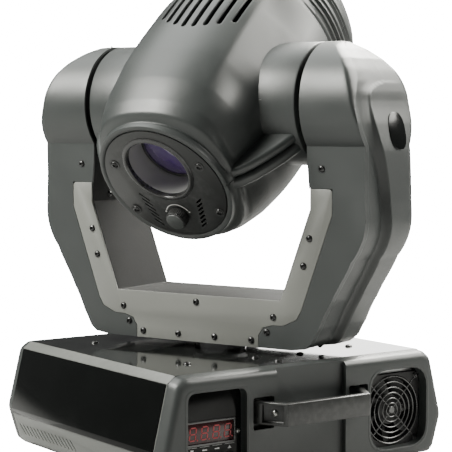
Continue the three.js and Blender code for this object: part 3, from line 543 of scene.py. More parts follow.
class Effects:
    """The surface effects that several finishes share, each a node group built once."""

    def __init__(self) -> None:
        """Builds every group."""
        self.mottle = self._mottle()
        self.texture = self._texture()
        self.lines = self._lines()
        self.wear = self._wear()
        self.dust = self._dust()

    @staticmethod
    def _start(name: str, inputs: dict[str, float], outputs: Sequence[str]) -> tuple:
        """An empty group with its wiring, its input node and its output node."""
        group = new_group(name, inputs, outputs)
        return group, Wiring(group), group.nodes["in"].outputs, group.nodes["out"].inputs

    def _mottle(self) -> Tree:
        """Slow, cloudy variation over a whole moulding."""
        group, wire, given, made = self._start("cloudy_variation", {"Scale": 9.0}, ["Mask"])
        cloud = wire.noise(given["Place"], given["Scale"], 4, 0.6)
        group.links.new(wire.spread(cloud, 0.3, 0.7), made["Mask"])
        return group

    def _texture(self) -> Tree:
        """The fine grain of a moulded or sprayed surface."""
        group, wire, given, made = self._start("fine_grain", {"Scale": 900.0, "Cells": 0.5}, ["Height"])
        soft = wire.noise(given["Place"], given["Scale"], 2, 0.5)
        cells = wire.add("TexVoronoi", {"Vector": given["Place"], "Scale": given["Scale"]},
            feature="SMOOTH_F1")
        lumpy = wire.maths("MULTIPLY", cells.outputs["Distance"], given["Cells"])
        group.links.new(wire.maths("ADD", soft, lumpy), made["Height"])
        return group

    def _lines(self) -> Tree:
        """Fine scratches that all run one way; the place is stretched before it comes in."""
        group, wire, given, made = self._start("fine_scratches", {"Scale": 60.0, "Share": 0.35},
            ["Mask", "Height"])
        streak = wire.noise(given["Place"], given["Scale"], 5, 0.7)
        edge = wire.maths("SUBTRACT", 1.0, given["Share"])
        above = wire.maths("SUBTRACT", streak, edge)
        group.links.new(wire.spread(above, 0.0, 0.15), made["Mask"])
        group.links.new(streak, made["Height"])
        return group

    def _wear(self) -> Tree:
        """Rubbed edges: where the surface bends outwards, broken up by noise."""
        group, wire, given, made = self._start("rubbed_edges", {"Amount": 0.5, "Scale": 140.0}, ["Mask"])
        bend = wire.add("NewGeometry").outputs["Pointiness"]
        raised = wire.spread(bend, 0.53, 0.6)
        broken = wire.spread(wire.noise(given["Place"], given["Scale"], 4, 0.65), 0.42, 0.66)
        share = wire.maths("MULTIPLY", wire.maths("MULTIPLY", raised, broken), given["Amount"])
        group.links.new(share, made["Mask"])
        return group

    def _dust(self) -> Tree:
        """A thin film of dust on what faces up, and finger marks elsewhere."""
        group, wire, given, made = self._start("settled_dust", {"Amount": 0.2, "Scale": 45.0},
            ["Mask", "Smear"])
        normal = wire.add("TexCoord").outputs["Normal"]
        up = wire.spread(wire.add("SeparateXYZ", {0: normal}).outputs[2], 0.25, 1.0)
        specks = wire.spread(wire.noise(given["Place"], given["Scale"], 6, 0.7), 0.35, 0.75)
        film = wire.maths("MULTIPLY", wire.maths("MULTIPLY", up, specks), given["Amount"])
        smear = wire.spread(wire.noise(given["Place"], 22.0, 3, 0.5), 0.45, 0.75)
        group.links.new(film, made["Mask"])
        group.links.new(smear, made["Smear"])
        return group


EFFECTS = Effects()
Colour = tuple[float, float, float]


def opaque(colour: Colour) -> tuple[float, float, float, float]:
    """A colour with full alpha."""
    return (*colour, 1.0)


@dataclass(frozen=True)
class Finish:
    """A solid finish: paint, moulded plastic, rubber or metal."""

    name: str
    colour: Colour
    roughness: float
    metallic: float = 0.0
    coat: float = 0.0
    coat_roughness: float = 0.1
    specular: float = 0.5
    grain: Grain = Grain.MOULDED
    grain_scale: float = 900.0
    depth: float = 0.00004
    mottle: float = 0.12
    wear: float = 0.3
    wear_colour: Colour = (0.5, 0.5, 0.5)
    dust: float = 0.15
    centre: Point = (0.0, 0.0, 0.0)
    turn: Point = (0.0, 0.0, 0.0)
    glow: float = 0.0

    def _grain(self, wire: Wiring, place: object) -> tuple[object, object]:
        """The fine pattern's height, and how much it scatters light.

        Args:
            wire: the material's wiring.
            place: the place on the piece.

        Returns:
            A height and a mask.
        """
        if self.grain is Grain.BRUSHED:
            stretched = wire.add("Mapping", {0: place, 2: self.turn, 3: (1.0, 1.0, 0.03)}).outputs[0]
            node = wire.group(EFFECTS.lines, {"Place": stretched, "Scale": self.grain_scale, "Share": 0.5})
            return node.outputs["Height"], node.outputs["Mask"]
        if self.grain is Grain.TURNED:
            centred = wire.add("Mapping", {0: place, 1: [-c for c in self.centre]}).outputs[0]
            flat = wire.add("VectorMath", {0: centred, 1: self.turn}, operation="MULTIPLY").outputs[0]
            reach = wire.add("VectorMath", {0: flat}, operation="LENGTH").outputs["Value"]
            ringed = wire.add("CombineXYZ", {0: reach}).outputs[0]
            node = wire.group(EFFECTS.lines, {"Place": ringed, "Scale": self.grain_scale, "Share": 0.5})
            return node.outputs["Height"], node.outputs["Mask"]
        cells = 0.8 if self.grain is Grain.WORN_RUBBER else 0.5 if self.grain is Grain.MOULDED else 0.15
        node = wire.group(EFFECTS.texture, {"Place": place, "Scale": self.grain_scale, "Cells": cells})
        return node.outputs["Height"], wire.spread(node.outputs["Height"], 0.4, 1.0)

    def build(self) -> bpy.types.Material:
        """Makes the finish's material.

        Returns:
            The material.
        """
        material = bpy.data.materials.new(self.name)
        material.use_nodes = True
        wire = Wiring(material.node_tree)
        shader = material.node_tree.nodes["Principled BSDF"]
        place = wire.add("TexCoord").outputs["Object"]
        cloud = wire.group(EFFECTS.mottle, {"Place": place, "Scale": 11.0}).outputs["Mask"]
        darker = tuple(c * (1 - self.mottle) for c in self.colour)
        lighter = tuple(min(1.0, c * (1 + self.mottle)) for c in self.colour)
        tint = wire.mix(cloud, opaque(darker), opaque(lighter))
        worn = wire.group(EFFECTS.wear, {"Place": place, "Amount": self.wear}).outputs["Mask"]
        tint = wire.mix(worn, tint, opaque(self.wear_colour))
        dust = wire.group(EFFECTS.dust, {"Place": place, "Amount": self.dust})
        tint = wire.mix(dust.outputs["Mask"], tint, (0.42, 0.41, 0.38, 1.0))
        height, scatter = self._grain(wire, place)
        smear = wire.maths("MULTIPLY", dust.outputs["Smear"], 0.07)
        rough = wire.spread(scatter, 0.0, 1.0, self.roughness * 0.88, min(1.0, self.roughness * 1.14))
        rough = wire.maths("ADD", wire.maths("ADD", rough, smear),
            wire.maths("MULTIPLY", dust.outputs["Mask"], 0.5))
        bump = wire.add("Bump", {"Height": height, "Distance": self.depth, "Strength": 1.0}).outputs[0]
        links = material.node_tree.links
        links.new(tint, shader.inputs["Base Color"])
        links.new(rough, shader.inputs["Roughness"])
        links.new(bump, shader.inputs["Normal"])
        shader.inputs["Metallic"].default_value = self.metallic
        shader.inputs["Specular IOR Level"].default_value = self.specular
        shader.inputs["Coat Weight"].default_value = self.coat
        shader.inputs["Coat Roughness"].default_value = self.coat_roughness
        # Emission here is a painted glow; only the unlit display segments use it.
        if self.glow:
            shader.inputs["Emission Color"].default_value = opaque(self.colour)
            shader.inputs["Emission Strength"].default_value = self.glow
        return material


@dataclass(frozen=True)
class Glass:
    """A clear or coated glass."""

    name: str
    colour: Colour
    roughness: float = 0.02
    transmission: float = 1.0
    coat: float = 0.6
    edge_colour: Colour = (0.3, 0.3, 0.35)

    def build(self) -> bpy.types.Material:
        """Makes the glass's material, tinted more strongly where it is seen at a slant.

        Returns:
            The material.
        """
        material = bpy.data.materials.new(self.name)
        material.use_nodes = True
        wire = Wiring(material.node_tree)
        shader = material.node_tree.nodes["Principled BSDF"]
        place = wire.add("TexCoord").outputs["Object"]
        cloud = wire.group(EFFECTS.mottle, {"Place": place, "Scale": 40.0}).outputs["Mask"]
        slant = wire.add("LayerWeight", {"Blend": 0.3}).outputs["Facing"]
        tint = wire.mix(slant, opaque(self.colour), opaque(self.edge_colour))
        tint = wire.mix(wire.maths("MULTIPLY", cloud, 0.12), tint, (0.9, 0.9, 0.95, 1.0))
        smear = wire.group(EFFECTS.dust, {"Place": place}).outputs["Smear"]
        links = material.node_tree.links
        links.new(tint, shader.inputs["Base Color"])
        links.new(wire.spread(smear, 0.0, 1.0, self.roughness, self.roughness + 0.05),
            shader.inputs["Roughness"])
        shader.inputs["Transmission Weight"].default_value = self.transmission
        shader.inputs["IOR"].default_value = 1.5
        shader.inputs["Coat Weight"].default_value = self.coat
        return material


COVER = Finish("satin_grey_moulding", (0.032, 0.0365, 0.0355), 0.40, specular=0.75, mottle=0.04, wear=0.08,
    wear_colour=(0.13, 0.13, 0.12), dust=0.02)
FACE_PLATE = Finish("dark_satin_face", (0.020, 0.021, 0.0205), 0.38, specular=0.5, grain=Grain.SPRAYED,
    grain_scale=1200, wear=0.3, wear_colour=(0.15, 0.15, 0.15), dust=0.02)
PLATE = Finish("satin_grey_paint", (0.19, 0.193, 0.178), 0.36, specular=0.7, grain=Grain.SPRAYED,
    grain_scale=1300, mottle=0.03, wear=0.25, wear_colour=(0.35, 0.35, 0.33), dust=0.02)
PANEL_LIGHT = Finish("light_grey_paint", (0.17, 0.175, 0.165), 0.34, grain=Grain.SPRAYED, grain_scale=1300,
    mottle=0.03, wear=0.2, wear_colour=(0.4, 0.4, 0.38), dust=0.03)
HANDLE = Finish("dark_grey_paint", (0.018, 0.019, 0.0185), 0.33, specular=0.7, grain=Grain.SPRAYED,
    grain_scale=1300, mottle=0.04, wear=0.5, wear_colour=(0.25, 0.25, 0.24), dust=0.03)
OVERLAY = Finish("gloss_black_overlay", (0.0045, 0.005, 0.0048), 0.12, grain=Grain.SPRAYED, grain_scale=700,
    depth=0.000004, specular=0.2, wear=0.0, dust=0.0)
DECK = Finish("gloss_dark_deck", (0.011, 0.0125, 0.012), 0.08, grain=Grain.SPRAYED, grain_scale=500,
    depth=0.00001, specular=0.7, coat=0.5, coat_roughness=0.05, wear=0.0, dust=0.03)
BLACK_PAINT = Finish("black_satin_paint", (0.014, 0.015, 0.0145), 0.36, specular=0.4, grain=Grain.SPRAYED,
    grain_scale=1200, wear=0.35, wear_colour=(0.2, 0.2, 0.2), dust=0.06)
INSIDE = Finish("black_inner_paint", (0.0035, 0.0035, 0.0035), 0.6, specular=0.25, grain=Grain.SPRAYED,
    wear=0.0, dust=0.02)
BLACK_PLASTIC = Finish("black_moulding", (0.010, 0.010, 0.010), 0.42, wear=0.2, wear_colour=(0.1, 0.1, 0.1),
    dust=0.05)
KNOB_GREY = Finish("grey_knob_moulding", (0.045, 0.05, 0.048), 0.42, wear=0.4, wear_colour=(0.3, 0.3, 0.3))
RUBBER = Finish("foot_rubber_finish", (0.02, 0.02, 0.02), 0.82, grain=Grain.WORN_RUBBER, depth=0.0001,
    wear=0.1)
BELT = Finish("belt_rubber_finish", (0.03, 0.03, 0.03), 0.7, grain=Grain.WORN_RUBBER, grain_scale=1500)
WIRE = Finish("dark_plated_wire", (0.13, 0.13, 0.13), 0.28, metallic=0.9, grain=Grain.SPRAYED, wear=0.1,
    dust=0.05)
SCREW = Finish("nickel_screw", (0.42, 0.42, 0.40), 0.28, metallic=1.0, grain=Grain.SPRAYED, wear=0.3,
    dust=0.05)
BLACK_SCREW = Finish("blackened_screw", (0.05, 0.05, 0.05), 0.3, metallic=0.8, grain=Grain.SPRAYED, wear=0.6,
    wear_colour=(0.4, 0.4, 0.4), dust=0.05)
ZINC = Finish("zinc_sheet", (0.45, 0.46, 0.46), 0.38, metallic=1.0, grain=Grain.BRUSHED, grain_scale=350,
    wear=0.2)
LAMINATE = Finish("varnished_core", (0.16, 0.10, 0.06), 0.45, metallic=0.3, grain=Grain.BRUSHED,
    grain_scale=500)
HUB = Finish("polished_hub_turning", (0.7, 0.7, 0.69), 0.14, metallic=1.0, grain=Grain.TURNED,
    grain_scale=900, turn=(1, 1, 0), depth=0.00001, wear=0.0, dust=0.05)
MACHINED = Finish("machined_aluminium", (0.55, 0.56, 0.57), 0.3, metallic=1.0, grain=Grain.SPRAYED, wear=0.2)
MOTOR = Finish("motor_can", (0.03, 0.03, 0.033), 0.4, metallic=0.4, grain=Grain.SPRAYED, wear=0.3)
TUBE = Finish("anodised_tube", (0.42, 0.42, 0.41), 0.36, metallic=0.3, grain=Grain.SPRAYED, depth=0.0,
    mottle=0.02, wear=0.0, dust=0.0)
BEZEL = Finish("lens_ring_turning", (0.075, 0.075, 0.075), 0.24, metallic=0.7, grain=Grain.SPRAYED, wear=0.2,
    mottle=0.03, wear_colour=(0.4, 0.4, 0.4), dust=0.0)
WHEEL = Finish("wheel_disc", (0.3, 0.3, 0.31), 0.35, metallic=0.9, grain=Grain.BRUSHED, grain_scale=300)
PRINT = Finish("white_print", (0.75, 0.75, 0.73), 0.5, grain=Grain.SPRAYED, wear=0.2,
    wear_colour=(0.3, 0.3, 0.3))
CERAMIC = Finish("lamp_ceramic", (0.75, 0.73, 0.68), 0.6, wear=0.0)
MIRROR = Finish("mirror_coating_finish", (0.86, 0.87, 0.92), 0.05, metallic=1.0, grain=Grain.SPRAYED,
    depth=0.0, wear=0.0, dust=0.0)
DIGIT_BACK = Finish("display_window_red", (0.030, 0.003, 0.004), 0.2, grain=Grain.SPRAYED, coat=0.5,
    coat_roughness=0.05, depth=0.0, wear=0.0, dust=0.03)
# The segments are unlit; their faint emission is a painted glow.
DIGIT_PAINTED_GLOW = Finish("display_segment_painted_glow", (0.30, 0.030, 0.034), 0.35, grain=Grain.SPRAYED, depth=0.0, wear=0.0,
    dust=0.0, glow=0.16)
LENS = Glass("violet_coated_lens", (0.12, 0.05, 0.30), roughness=0.04, transmission=0.35, coat=1.0,
    edge_colour=(0.10, 0.06, 0.16))
BULB = Glass("clear_lamp_glass", (0.95, 0.95, 0.95))

MATERIALS: dict[str, bpy.types.Material] = {}


def finish_of(finish: "Finish | Glass") -> bpy.types.Material:
    """The material of a finish, built on its first use."""
    if finish.name not in MATERIALS:
        MATERIALS[finish.name] = finish.build()
    return MATERIALS[finish.name]


def dress(piece: Piece, finish: "Finish | Glass") -> Piece:
    """Gives a whole piece one finish.

    Args:
        piece: the piece.
        finish: what it is finished in.

    Returns:
        The same piece.
    """
    piece.data.materials.clear()
    piece.data.materials.append(finish_of(finish))
    return piece


@dataclass
class Assembly:
    """What every sub-assembly has: a body that it rides on and a frame that it is built in."""

    body: str
    place: Matrix = field(default_factory=lambda: Matrix.Identity(4))

    def fit(
        self, piece: Piece, finish: "Finish | Glass", slot: str, *nodes: str, body: str = "",
        smooth: float = 30
    ) -> Piece:
        """Finishes a piece: shading, material, place and body.

        Args:
            piece: the piece, built in the assembly's own frame.
            finish: its finish.
            slot: the record's material slot; not used.
            nodes: the CAD nodes that it stands for.
            body: the body that it rides on, where it isn't the assembly's.
            smooth: edges sharper than this many degrees stay sharp.

        Returns:
            The same piece.
        """
        dress(piece, finish)
        pick(piece)
        bpy.ops.object.shade_smooth_by_angle(angle=math.radians(smooth))
        piece.data.transform(self.place)
        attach(piece, body or self.body)
        if nodes:
            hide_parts(*nodes)
        LOG.info("%s rides on %s", piece.name, body or self.body)
        return piece

    def keep(self, finish: "Finish | Glass", *nodes: str) -> None:
        """Gives CAD nodes that stay in view their finish.

        Args:
            finish: the finish.
            nodes: the nodes' names.
        """
        for node in nodes:
            for slot in frame["nodes"][node].material_slots:
                slot.material = finish_of(finish)
            LOG.info("%s kept", node)


def button_screw(name: str, radius: float = 0.0039, high: float = 0.0022) -> Piece:
    """A button-head screw with a hexagonal socket, standing up along Z.

    Args:
        name: the piece's name.
        radius: the head's radius.
        high: the head's height.

    Returns:
        The screw.
    """
    socket = radius * 0.42
    profile = [(0, high * 0.35), (socket, high * 0.35), (socket * 1.02, high * 0.98),
        (radius * 0.66, high * 0.86),
        (radius * 0.88, high * 0.55), (radius, high * 0.12), (radius, -0.001), (0, -0.001)]
    screw = turned(name, profile, steps=24)
    for vertex in screw.data.vertices:
        flat = Vector((vertex.co.x, vertex.co.y))
        if 0 < flat.length < socket * 1.1:
            lean = math.atan2(flat.y, flat.x) % (math.pi / 3) - math.pi / 6
            flat *= math.cos(math.pi / 6) / math.cos(lean) * 1.08
            vertex.co.x, vertex.co.y = flat
    return screw


def screw_set(name: str, places: Sequence[tuple[Point, Point]], **sizes: float) -> Piece:
    """The same screw at several places, as one piece.

    Args:
        name: the piece's name.
        places: (point, outward direction) of each screw.
        sizes: the screw's own sizes.

    Returns:
        The screws.
    """
    pattern = button_screw(name + "_pattern", **sizes)
    made = []
    for i, (point, outward) in enumerate(places):
        turn = Vector(outward).to_track_quat("Z", "Y").to_matrix().to_4x4() @ Matrix.Rotation(0.7 * i, 4, "Z")
        made.append(copy_of(pattern, f"{name}_{i}", Matrix.Translation(point) @ turn))
    bpy.data.objects.remove(pattern)
    return unite(name, *made)


def fan_blades(name: str, hub: float, reach: float, deep: float, count: int) -> Piece:
    """A fan wheel about Y: a cupped hub with swept, twisted blades.

    Args:
        name: the piece's name.
        hub: the hub's radius.
        reach: the blades' outer radius.
        deep: its depth along Y, half on each side of the origin.
        count: how many blades it has.

    Returns:
        The fan wheel.
    """
    half = deep / 2
    profile = [(0, -half), (hub - 0.002, -half), (hub - 0.0006, -half + 0.0006), (hub, -half + 0.002),
        (hub, half), (hub - 0.0015, half), (hub - 0.0015, -half + 0.003), (0, -half + 0.003)]
    parts = [turned(name + "_hub", profile, "y", steps=48)]
    rows = []
    for i in range(9):
        share = i / 8
        radius = hub - 0.0008 + (reach - hub + 0.0008) * share
        sweep, pitch = 0.35 * share**1.3, math.radians(52 - 24 * share)
        row = []
        for k in range(7):
            chord = (k / 6 - 0.5) * (0.82 * deep / math.sin(pitch)) * 0.9
            camber = 0.0016 * (1 - (2 * k / 6 - 1) ** 2)
            angle = sweep + (chord * math.cos(pitch) + camber) / radius
            row.append((radius * math.cos(angle), chord * math.sin(pitch) - camber, radius * math.sin(angle)))
        rows.append(row)
    blade = edit(thicken(skin(name + "_blade", rows), 0.0012), face_outwards)
    for i in range(count):
        parts.append(copy_of(blade, f"{name}_{i}", Matrix.Rotation(i * math.tau / count, 4, "Y")))
    bpy.data.objects.remove(blade)
    return unite(name, *parts)


# ----------------------------------------------------------------------- base


@dataclass
class Base(Assembly):
    """The low box: side panels, moulded ends, handles, control panel, fan, sockets and feet."""

    sheet: float = 0.002
    bevel_out: float = 0.009
    bevel_down: float = 0.007
    waist: float = 0.042
    overlay_low: float = 0.036
    shell: float = 0.003
    window_low: float = 0.013
    window_high: float = 0.100
    pillar_half: float = 0.046
    pillar_back: float = 0.006
    slits: int = 15
    guard_rings: tuple[float, ...] = (0.0372, 0.0312, 0.0252, 0.0192, 0.0132, 0.0078)
    segment: float = 0.0013
    fan_bore: float = 0.0375
    fan_screw_reach: float = 0.03575
    guard_wire: float = 0.0008

    def __post_init__(self) -> None:
        """Reads the driving sizes from the frame."""
        self.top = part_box("top_plate")[1].z
        self.top_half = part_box("top_plate")[1].x + 0.0003
        self.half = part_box("side_panel_right")[1].x
        self.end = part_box("side_panel_right")[1].y + 0.0003
        self.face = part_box("rear_end_cover")[1].y
        self.panel_face = -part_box("control_panel")[0].y
        low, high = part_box("base_fan_frame")
        self.fan = Vector(((low.x + high.x) / 2, low.y, (low.z + high.z) / 2))
        self.fan_half = (high.x - low.x) / 2
        self.fan_deep = high.y - low.y

    def side_line(self) -> list[Pair]:
        """The outer line of the right side, from the top edge down to the underside."""
        return [(self.top_half, self.top), (self.top_half + self.bevel_out, self.top - self.bevel_down),
            (self.half, self.waist), (self.half - 0.011, 0.005), (self.half - 0.017, 0.0)]

    def side_panels(self) -> None:
        """The folded side sheets with their slits, and the gloss overlay on each."""
        outer = self.side_line()
        inner = [(x - self.sheet * 1.1,
                z + (self.sheet if z < 0.01 else -self.sheet if z > 0.11 else 0)) for x, z in outer]
        flange = 0.017
        outline = [*outer, (outer[-1][0] - flange, 0), (outer[-1][0] - flange, self.sheet),
            *reversed(inner[1:]),
            (self.top_half - 0.0005, self.top - 0.0045), (self.top_half - flange, self.top - 0.0045),
            (self.top_half - flange, self.top - 0.0025), (self.top_half, self.top - 0.0025)]
        panel = slab("side_sheet", outline, (-self.end + 0.0003, self.end - 0.0003), "y")
        slope = math.atan2(0.011, self.waist - 0.005)
        cutters = []
        for i in range(self.slits):
            y = 0.137 - i * 0.0082
            tool = block(f"slit_{i}", (-0.006, -0.0009, -0.0068), (0.006, 0.0009, 0.0068))
            tool.data.transform(Matrix.Rotation(-slope, 4, "Y") @ Matrix.Rotation(math.radians(-38), 4, "X"))
            tool.data.transform(Matrix.Translation((self.half - 0.0068, y, 0.0185)))
            cutters.append(tool)
        carve(panel, *cutters)
        soften(panel, 0.0007, 2, 20)
        band = [(self.top_half + self.bevel_out + 0.0002, self.top - self.bevel_down - 0.0008),
            (self.half, self.waist), (self.half - 0.0018, self.overlay_low)]
        skinned = [(x + 0.0009, z - 0.0002) for x, z in band]
        overlay = slab("side_overlay", [*band, *reversed(skinned)], (-self.end + 0.0015, self.end - 0.0015),
            "y")
        soften(overlay, 0.0003, 2, 20)
        flip = Matrix.Scale(-1, 4, (1, 0, 0))
        for side, move in (("right", Matrix.Identity(4)), ("left", flip)):
            sheet = copy_of(panel, f"side_sheet_{side}", move)
            self.fit(sheet, PANEL_LIGHT, "black_plate", f"side_panel_{side}")
            self.fit(copy_of(overlay, f"side_overlay_{side}", move), OVERLAY, "black_plate")
        bpy.data.objects.remove(panel)
        bpy.data.objects.remove(overlay)

    def end_blank(self, name: str) -> Piece:
        """The moulded end at -Y before its openings: a hollow tray with a rolled rim and a sunk pillar.

        Args:
            name: the piece's name.

        Returns:
            The blank.
        """
        half_line = [self.side_line()[0], *self.side_line()[1:]]
        section = rounded(mirrored(half_line), 0.005, 4)
        middle = Vector((0, self.top / 2))
        rows = []
        profile = [(self.end + 0.0003, 0.0), (self.end + 0.008, 0.0008), (self.face - 0.0045, 0.0021),
            (self.face - 0.0022, 0.0036), (self.face - 0.0008, 0.0056), (self.face - 0.0001, 0.0078),
            (self.face, 0.0105)]
        for deep, inset in profile:
            scale = (1 - inset / self.half, 1 - inset / middle.y)
            rows.append([(x * scale[0], -deep, middle.y + (z - middle.y) * scale[1]) for x, z in section])
        shell = skin(name, rows, True)
        edit(shell, face_outwards)
        self.close_end(shell)
        thicken(shell, self.shell)
        sink = block("sink", (-self.pillar_half, -self.face - 0.01, -0.01),
            (self.pillar_half, -self.face + self.pillar_back, self.top + 0.01))
        soften(sink, 0.0025, 3)
        back = block(name + "_pillar", (-self.pillar_half - 0.0035, -self.face + self.pillar_back, 0.0025),
            (self.pillar_half + 0.0035, -self.face + self.pillar_back + self.shell,
                self.top - 0.0025))
        carve(shell, sink)
        cheeks = [block(f"{name}_cheek_{s}",
                (s * (self.pillar_half + 0.0018) - 0.0016, -self.face + 0.0035, 0.004),
                (s * (self.pillar_half + 0.0018) + 0.0016, -self.face + self.pillar_back + 0.002,
                self.top - 0.004)) for s in (-1, 1)]
        soften(back, 0.0008)
        return unite(name, shell, back, *cheeks)

    def close_end(self, shell: Piece) -> None:
        """Fills the flat front of an end's skin.

        Args:
            shell: the skin, open at its front and back.
        """
        pick(shell)
        front = min(v.co.y for v in shell.data.vertices)
        bpy.ops.object.mode_set(mode="EDIT")
        bpy.ops.mesh.select_all(action="DESELECT")
        bpy.ops.object.mode_set(mode="OBJECT")
        for edge in shell.data.edges:
            edge.select = all(abs(shell.data.vertices[v].co.y - front) < 1e-5 for v in edge.vertices)
        bpy.ops.object.mode_set(mode="EDIT")
        bpy.ops.mesh.select_mode(type="EDGE")
        bpy.ops.mesh.edge_face_add()
        bpy.ops.mesh.select_mode(type="VERT")
        bpy.ops.mesh.select_all(action="SELECT")
        bpy.ops.mesh.normals_make_consistent(inside=False)
        bpy.ops.object.mode_set(mode="OBJECT")

    def opening(self, name: str, x: Pair, z: Pair,
        radius: float) -> Piece:
        """A cutter for a rounded opening in the moulded end at -Y."""
        return slab(name, rounded(rectangle(x, z), radius), (-self.face - 0.02, -self.end + 0.004), "y")

    def frame_round(self, name: str, x: Pair, z: Pair,
        radius: float) -> Piece:
        """The inward wall round an opening, with a rolled lip at the front.

        Args:
            name: the piece's name.
            x: the opening's span.
            z: the opening's span upwards.
            radius: its corners' radius.

        Returns:
            The frame.
        """
        line = rounded(rectangle(x, z), radius)
        centre = Vector((sum(x) / 2, sum(z) / 2))
        rows = []
        for out, deep in [(0.0040, 0.0002), (0.0026, -0.0004), (0.0013, -0.0003), (0.0004, 0.0004),
            (0.0, 0.0028), (0.0, 0.0125), (0.0018, 0.0125), (0.0022, 0.004)]:
            scale = [1 + out / (x[1] - x[0]) * 2, 1 + out / (z[1] - z[0]) * 2]
            rows.append([(centre.x + (a - centre.x) * scale[0], -self.face + deep,
                    centre.y + (b - centre.y) * scale[1]) for a, b in line])
        return edit(skin(name, [*rows, rows[0]], True), face_outwards)

    def front_end(self) -> None:
        """The end with the display and the fan."""
        fan_x = (self.fan.x - self.fan_half + 0.001, self.fan.x + self.fan_half + 0.002)
        panel_x = (-fan_x[1] + 0.004, -fan_x[0] - 0.004)
        high = (self.window_low, self.window_high)
        cover = self.end_blank("front_end_moulding")
        carve(cover, self.opening("fan_hole", fan_x, high, 0.024),
            self.opening("panel_hole", panel_x, high, 0.010), *self.pocket_tools())
        frames = [self.frame_round("fan_surround", fan_x, high, 0.024),
            self.frame_round("panel_surround", panel_x, high, 0.010)]
        cover = unite("front_end_moulding", cover, *frames)
        self.fit(cover, COVER, "grey_cover", "front_end_cover", smooth=40)

    def pocket_tools(self) -> list[Piece]:
        """Cutters for the two finger pockets beside the pillar of the end at -Y."""
        low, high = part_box("front_handle")
        start = self.pillar_half + 0.004
        tools = []
        for side in (-1, 1):
            x = sorted((side * start, side * (start + 0.027)))
            tools.append(self.opening(f"pocket_{side}", tuple(x), (low.z - 0.006, high.z + 0.004), 0.003))
        return tools

    def rear_end(self) -> None:
        """The end with the mains inlet, the switch and the data sockets."""
        cover = self.end_blank("rear_end_moulding")
        tools = list(self.pocket_tools())
        for node in ("power_inlet", "power_switch", "data_sockets"):
            low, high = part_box(node)
            trim = 0.0 if node == "power_switch" else 0.003
            x = tuple(sorted((low.x + trim, high.x - trim)))
            tools.append(self.opening("hole_" + node, x, (low.z + trim, high.z - trim), 0.001))
        mirror = Matrix.Scale(-1, 4, (0, 1, 0))
        carve(cover, *tools)
        turned_round = copy_of(cover, "rear_end_moulding_turned", mirror)
        bpy.data.objects.remove(cover)
        turned_round = unite("rear_end_moulding", turned_round)
        self.fit(turned_round, COVER, "grey_cover", "rear_end_cover", smooth=40)

    def handles(self) -> None:
        """The two carrying handles: a straight grip, slanted ends with a screw in a pocket, and feet."""
        low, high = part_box("front_handle")
        grip, foot, thick = 0.055, high.x, 0.008
        front, wall = low.y, -self.face
        outer = [(foot, -self.end), (foot, wall), (grip, front)]
        inner = [(grip - 0.004, front + thick), (foot - thick, wall + 0.001), (foot - thick, -self.end)]
        outline = [*outer, *[(-x, y) for x, y in reversed(outer)], *[(-x, y) for x, y in reversed(inner)],
            *inner]
        bar = slab("handle_bar", outline, (low.z, high.z), "z")
        slant = Vector((wall - front, -(foot - grip))).normalized()
        tools, screws = [], []
        for side in (-1, 1):
            middle = Vector((side * (foot + grip) / 2, (wall + front) / 2))
            normal = Vector((side * slant.x, slant.y))
            tool = block(f"mitre_{side}", (-0.012, -0.0055, low.z + 0.0028), (0.012, 0.0055, high.z - 0.0028))
            turn = math.atan2(normal.y, normal.x) + math.pi / 2
            tool.data.transform(Matrix.Translation((middle.x, middle.y, 0)) @ Matrix.Rotation(turn, 4, "Z"))
            tools.append(tool)
            seat = middle - normal * 0.0054
            screws.append(((seat.x, seat.y, (low.z + high.z) / 2), (normal.x, normal.y, 0)))
        carve(bar, *tools)
        soften(bar, 0.0011, 3, 30)
        heads = screw_set("handle_screws", screws)
        for name, move in (("front", Matrix.Identity(4)), ("rear", Matrix.Scale(-1, 4, (0, 1, 0)))):
            self.fit(copy_of(bar, f"{name}_carrying_handle", move), HANDLE, "grey_plate", f"{name}_handle")
            self.fit(copy_of(heads, f"{name}_handle_screws", move), SCREW, "wire")
        bpy.data.objects.remove(bar)
        bpy.data.objects.remove(heads)

    def control_panel(self) -> None:
        """The sunk black panel with its window, digits, keys, key marks and screws."""
        low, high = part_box("control_panel")
        face = -self.panel_face
        board = slab("control_board", rounded(rectangle((low.x, high.x), (low.z, high.z)), 0.003),
            (face, face + 0.002), "y")
        w_low, w_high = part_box("display_window")
        sight = ((w_low.x + 0.0017, w_high.x - 0.0017), (w_low.z + 0.0017, w_high.z - 0.0017))
        keys = [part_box(f"menu_button_{i}") for i in range(1, 5)]
        centres = [((a.x + b.x) / 2, (a.z + b.z) / 2) for a, b in keys]
        holes = [rod(f"key_hole_{i}", 0.0047, (x, face - 0.01, z), (x, face + 0.01, z)) for i,
            (x, z) in enumerate(centres)]
        carve(board, slab("sight", rectangle(*sight), (face - 0.01, face + 0.01), "y"), *holes)
        soften(board, 0.0003)
        self.fit(board, OVERLAY, "black_plate", "control_panel")
        self.display(sight, face)
        mid_z = (w_low.z + w_high.z) / 2
        spots = [(w_low.x - 0.004, mid_z - 0.002), (w_high.x + 0.004, mid_z - 0.002)]
        screws = screw_set("panel_screws", [((x, face, z), (0, -1, 0)) for x, z in spots], radius=0.0027,
            high=0.0016)
        self.fit(screws, SCREW, "wire")
        dome = [(0, -0.0024), (0.002, -0.0023), (0.0036, -0.0017), (0.0043, -0.0009), (0.0045, 0.0),
            (0.0045, 0.0035), (0.0057, 0.0035), (0.0057, 0.0045), (0, 0.0045)]
        for i, (x, z) in enumerate(centres, 1):
            key = turned(f"menu_key_{i}", dome, "y", (x, face, z), 32)
            self.fit(key, BLACK_PLASTIC, "button_plastic", f"menu_button_{i}", body=f"menu_button_{i}")
        self.key_marks(centres, face)

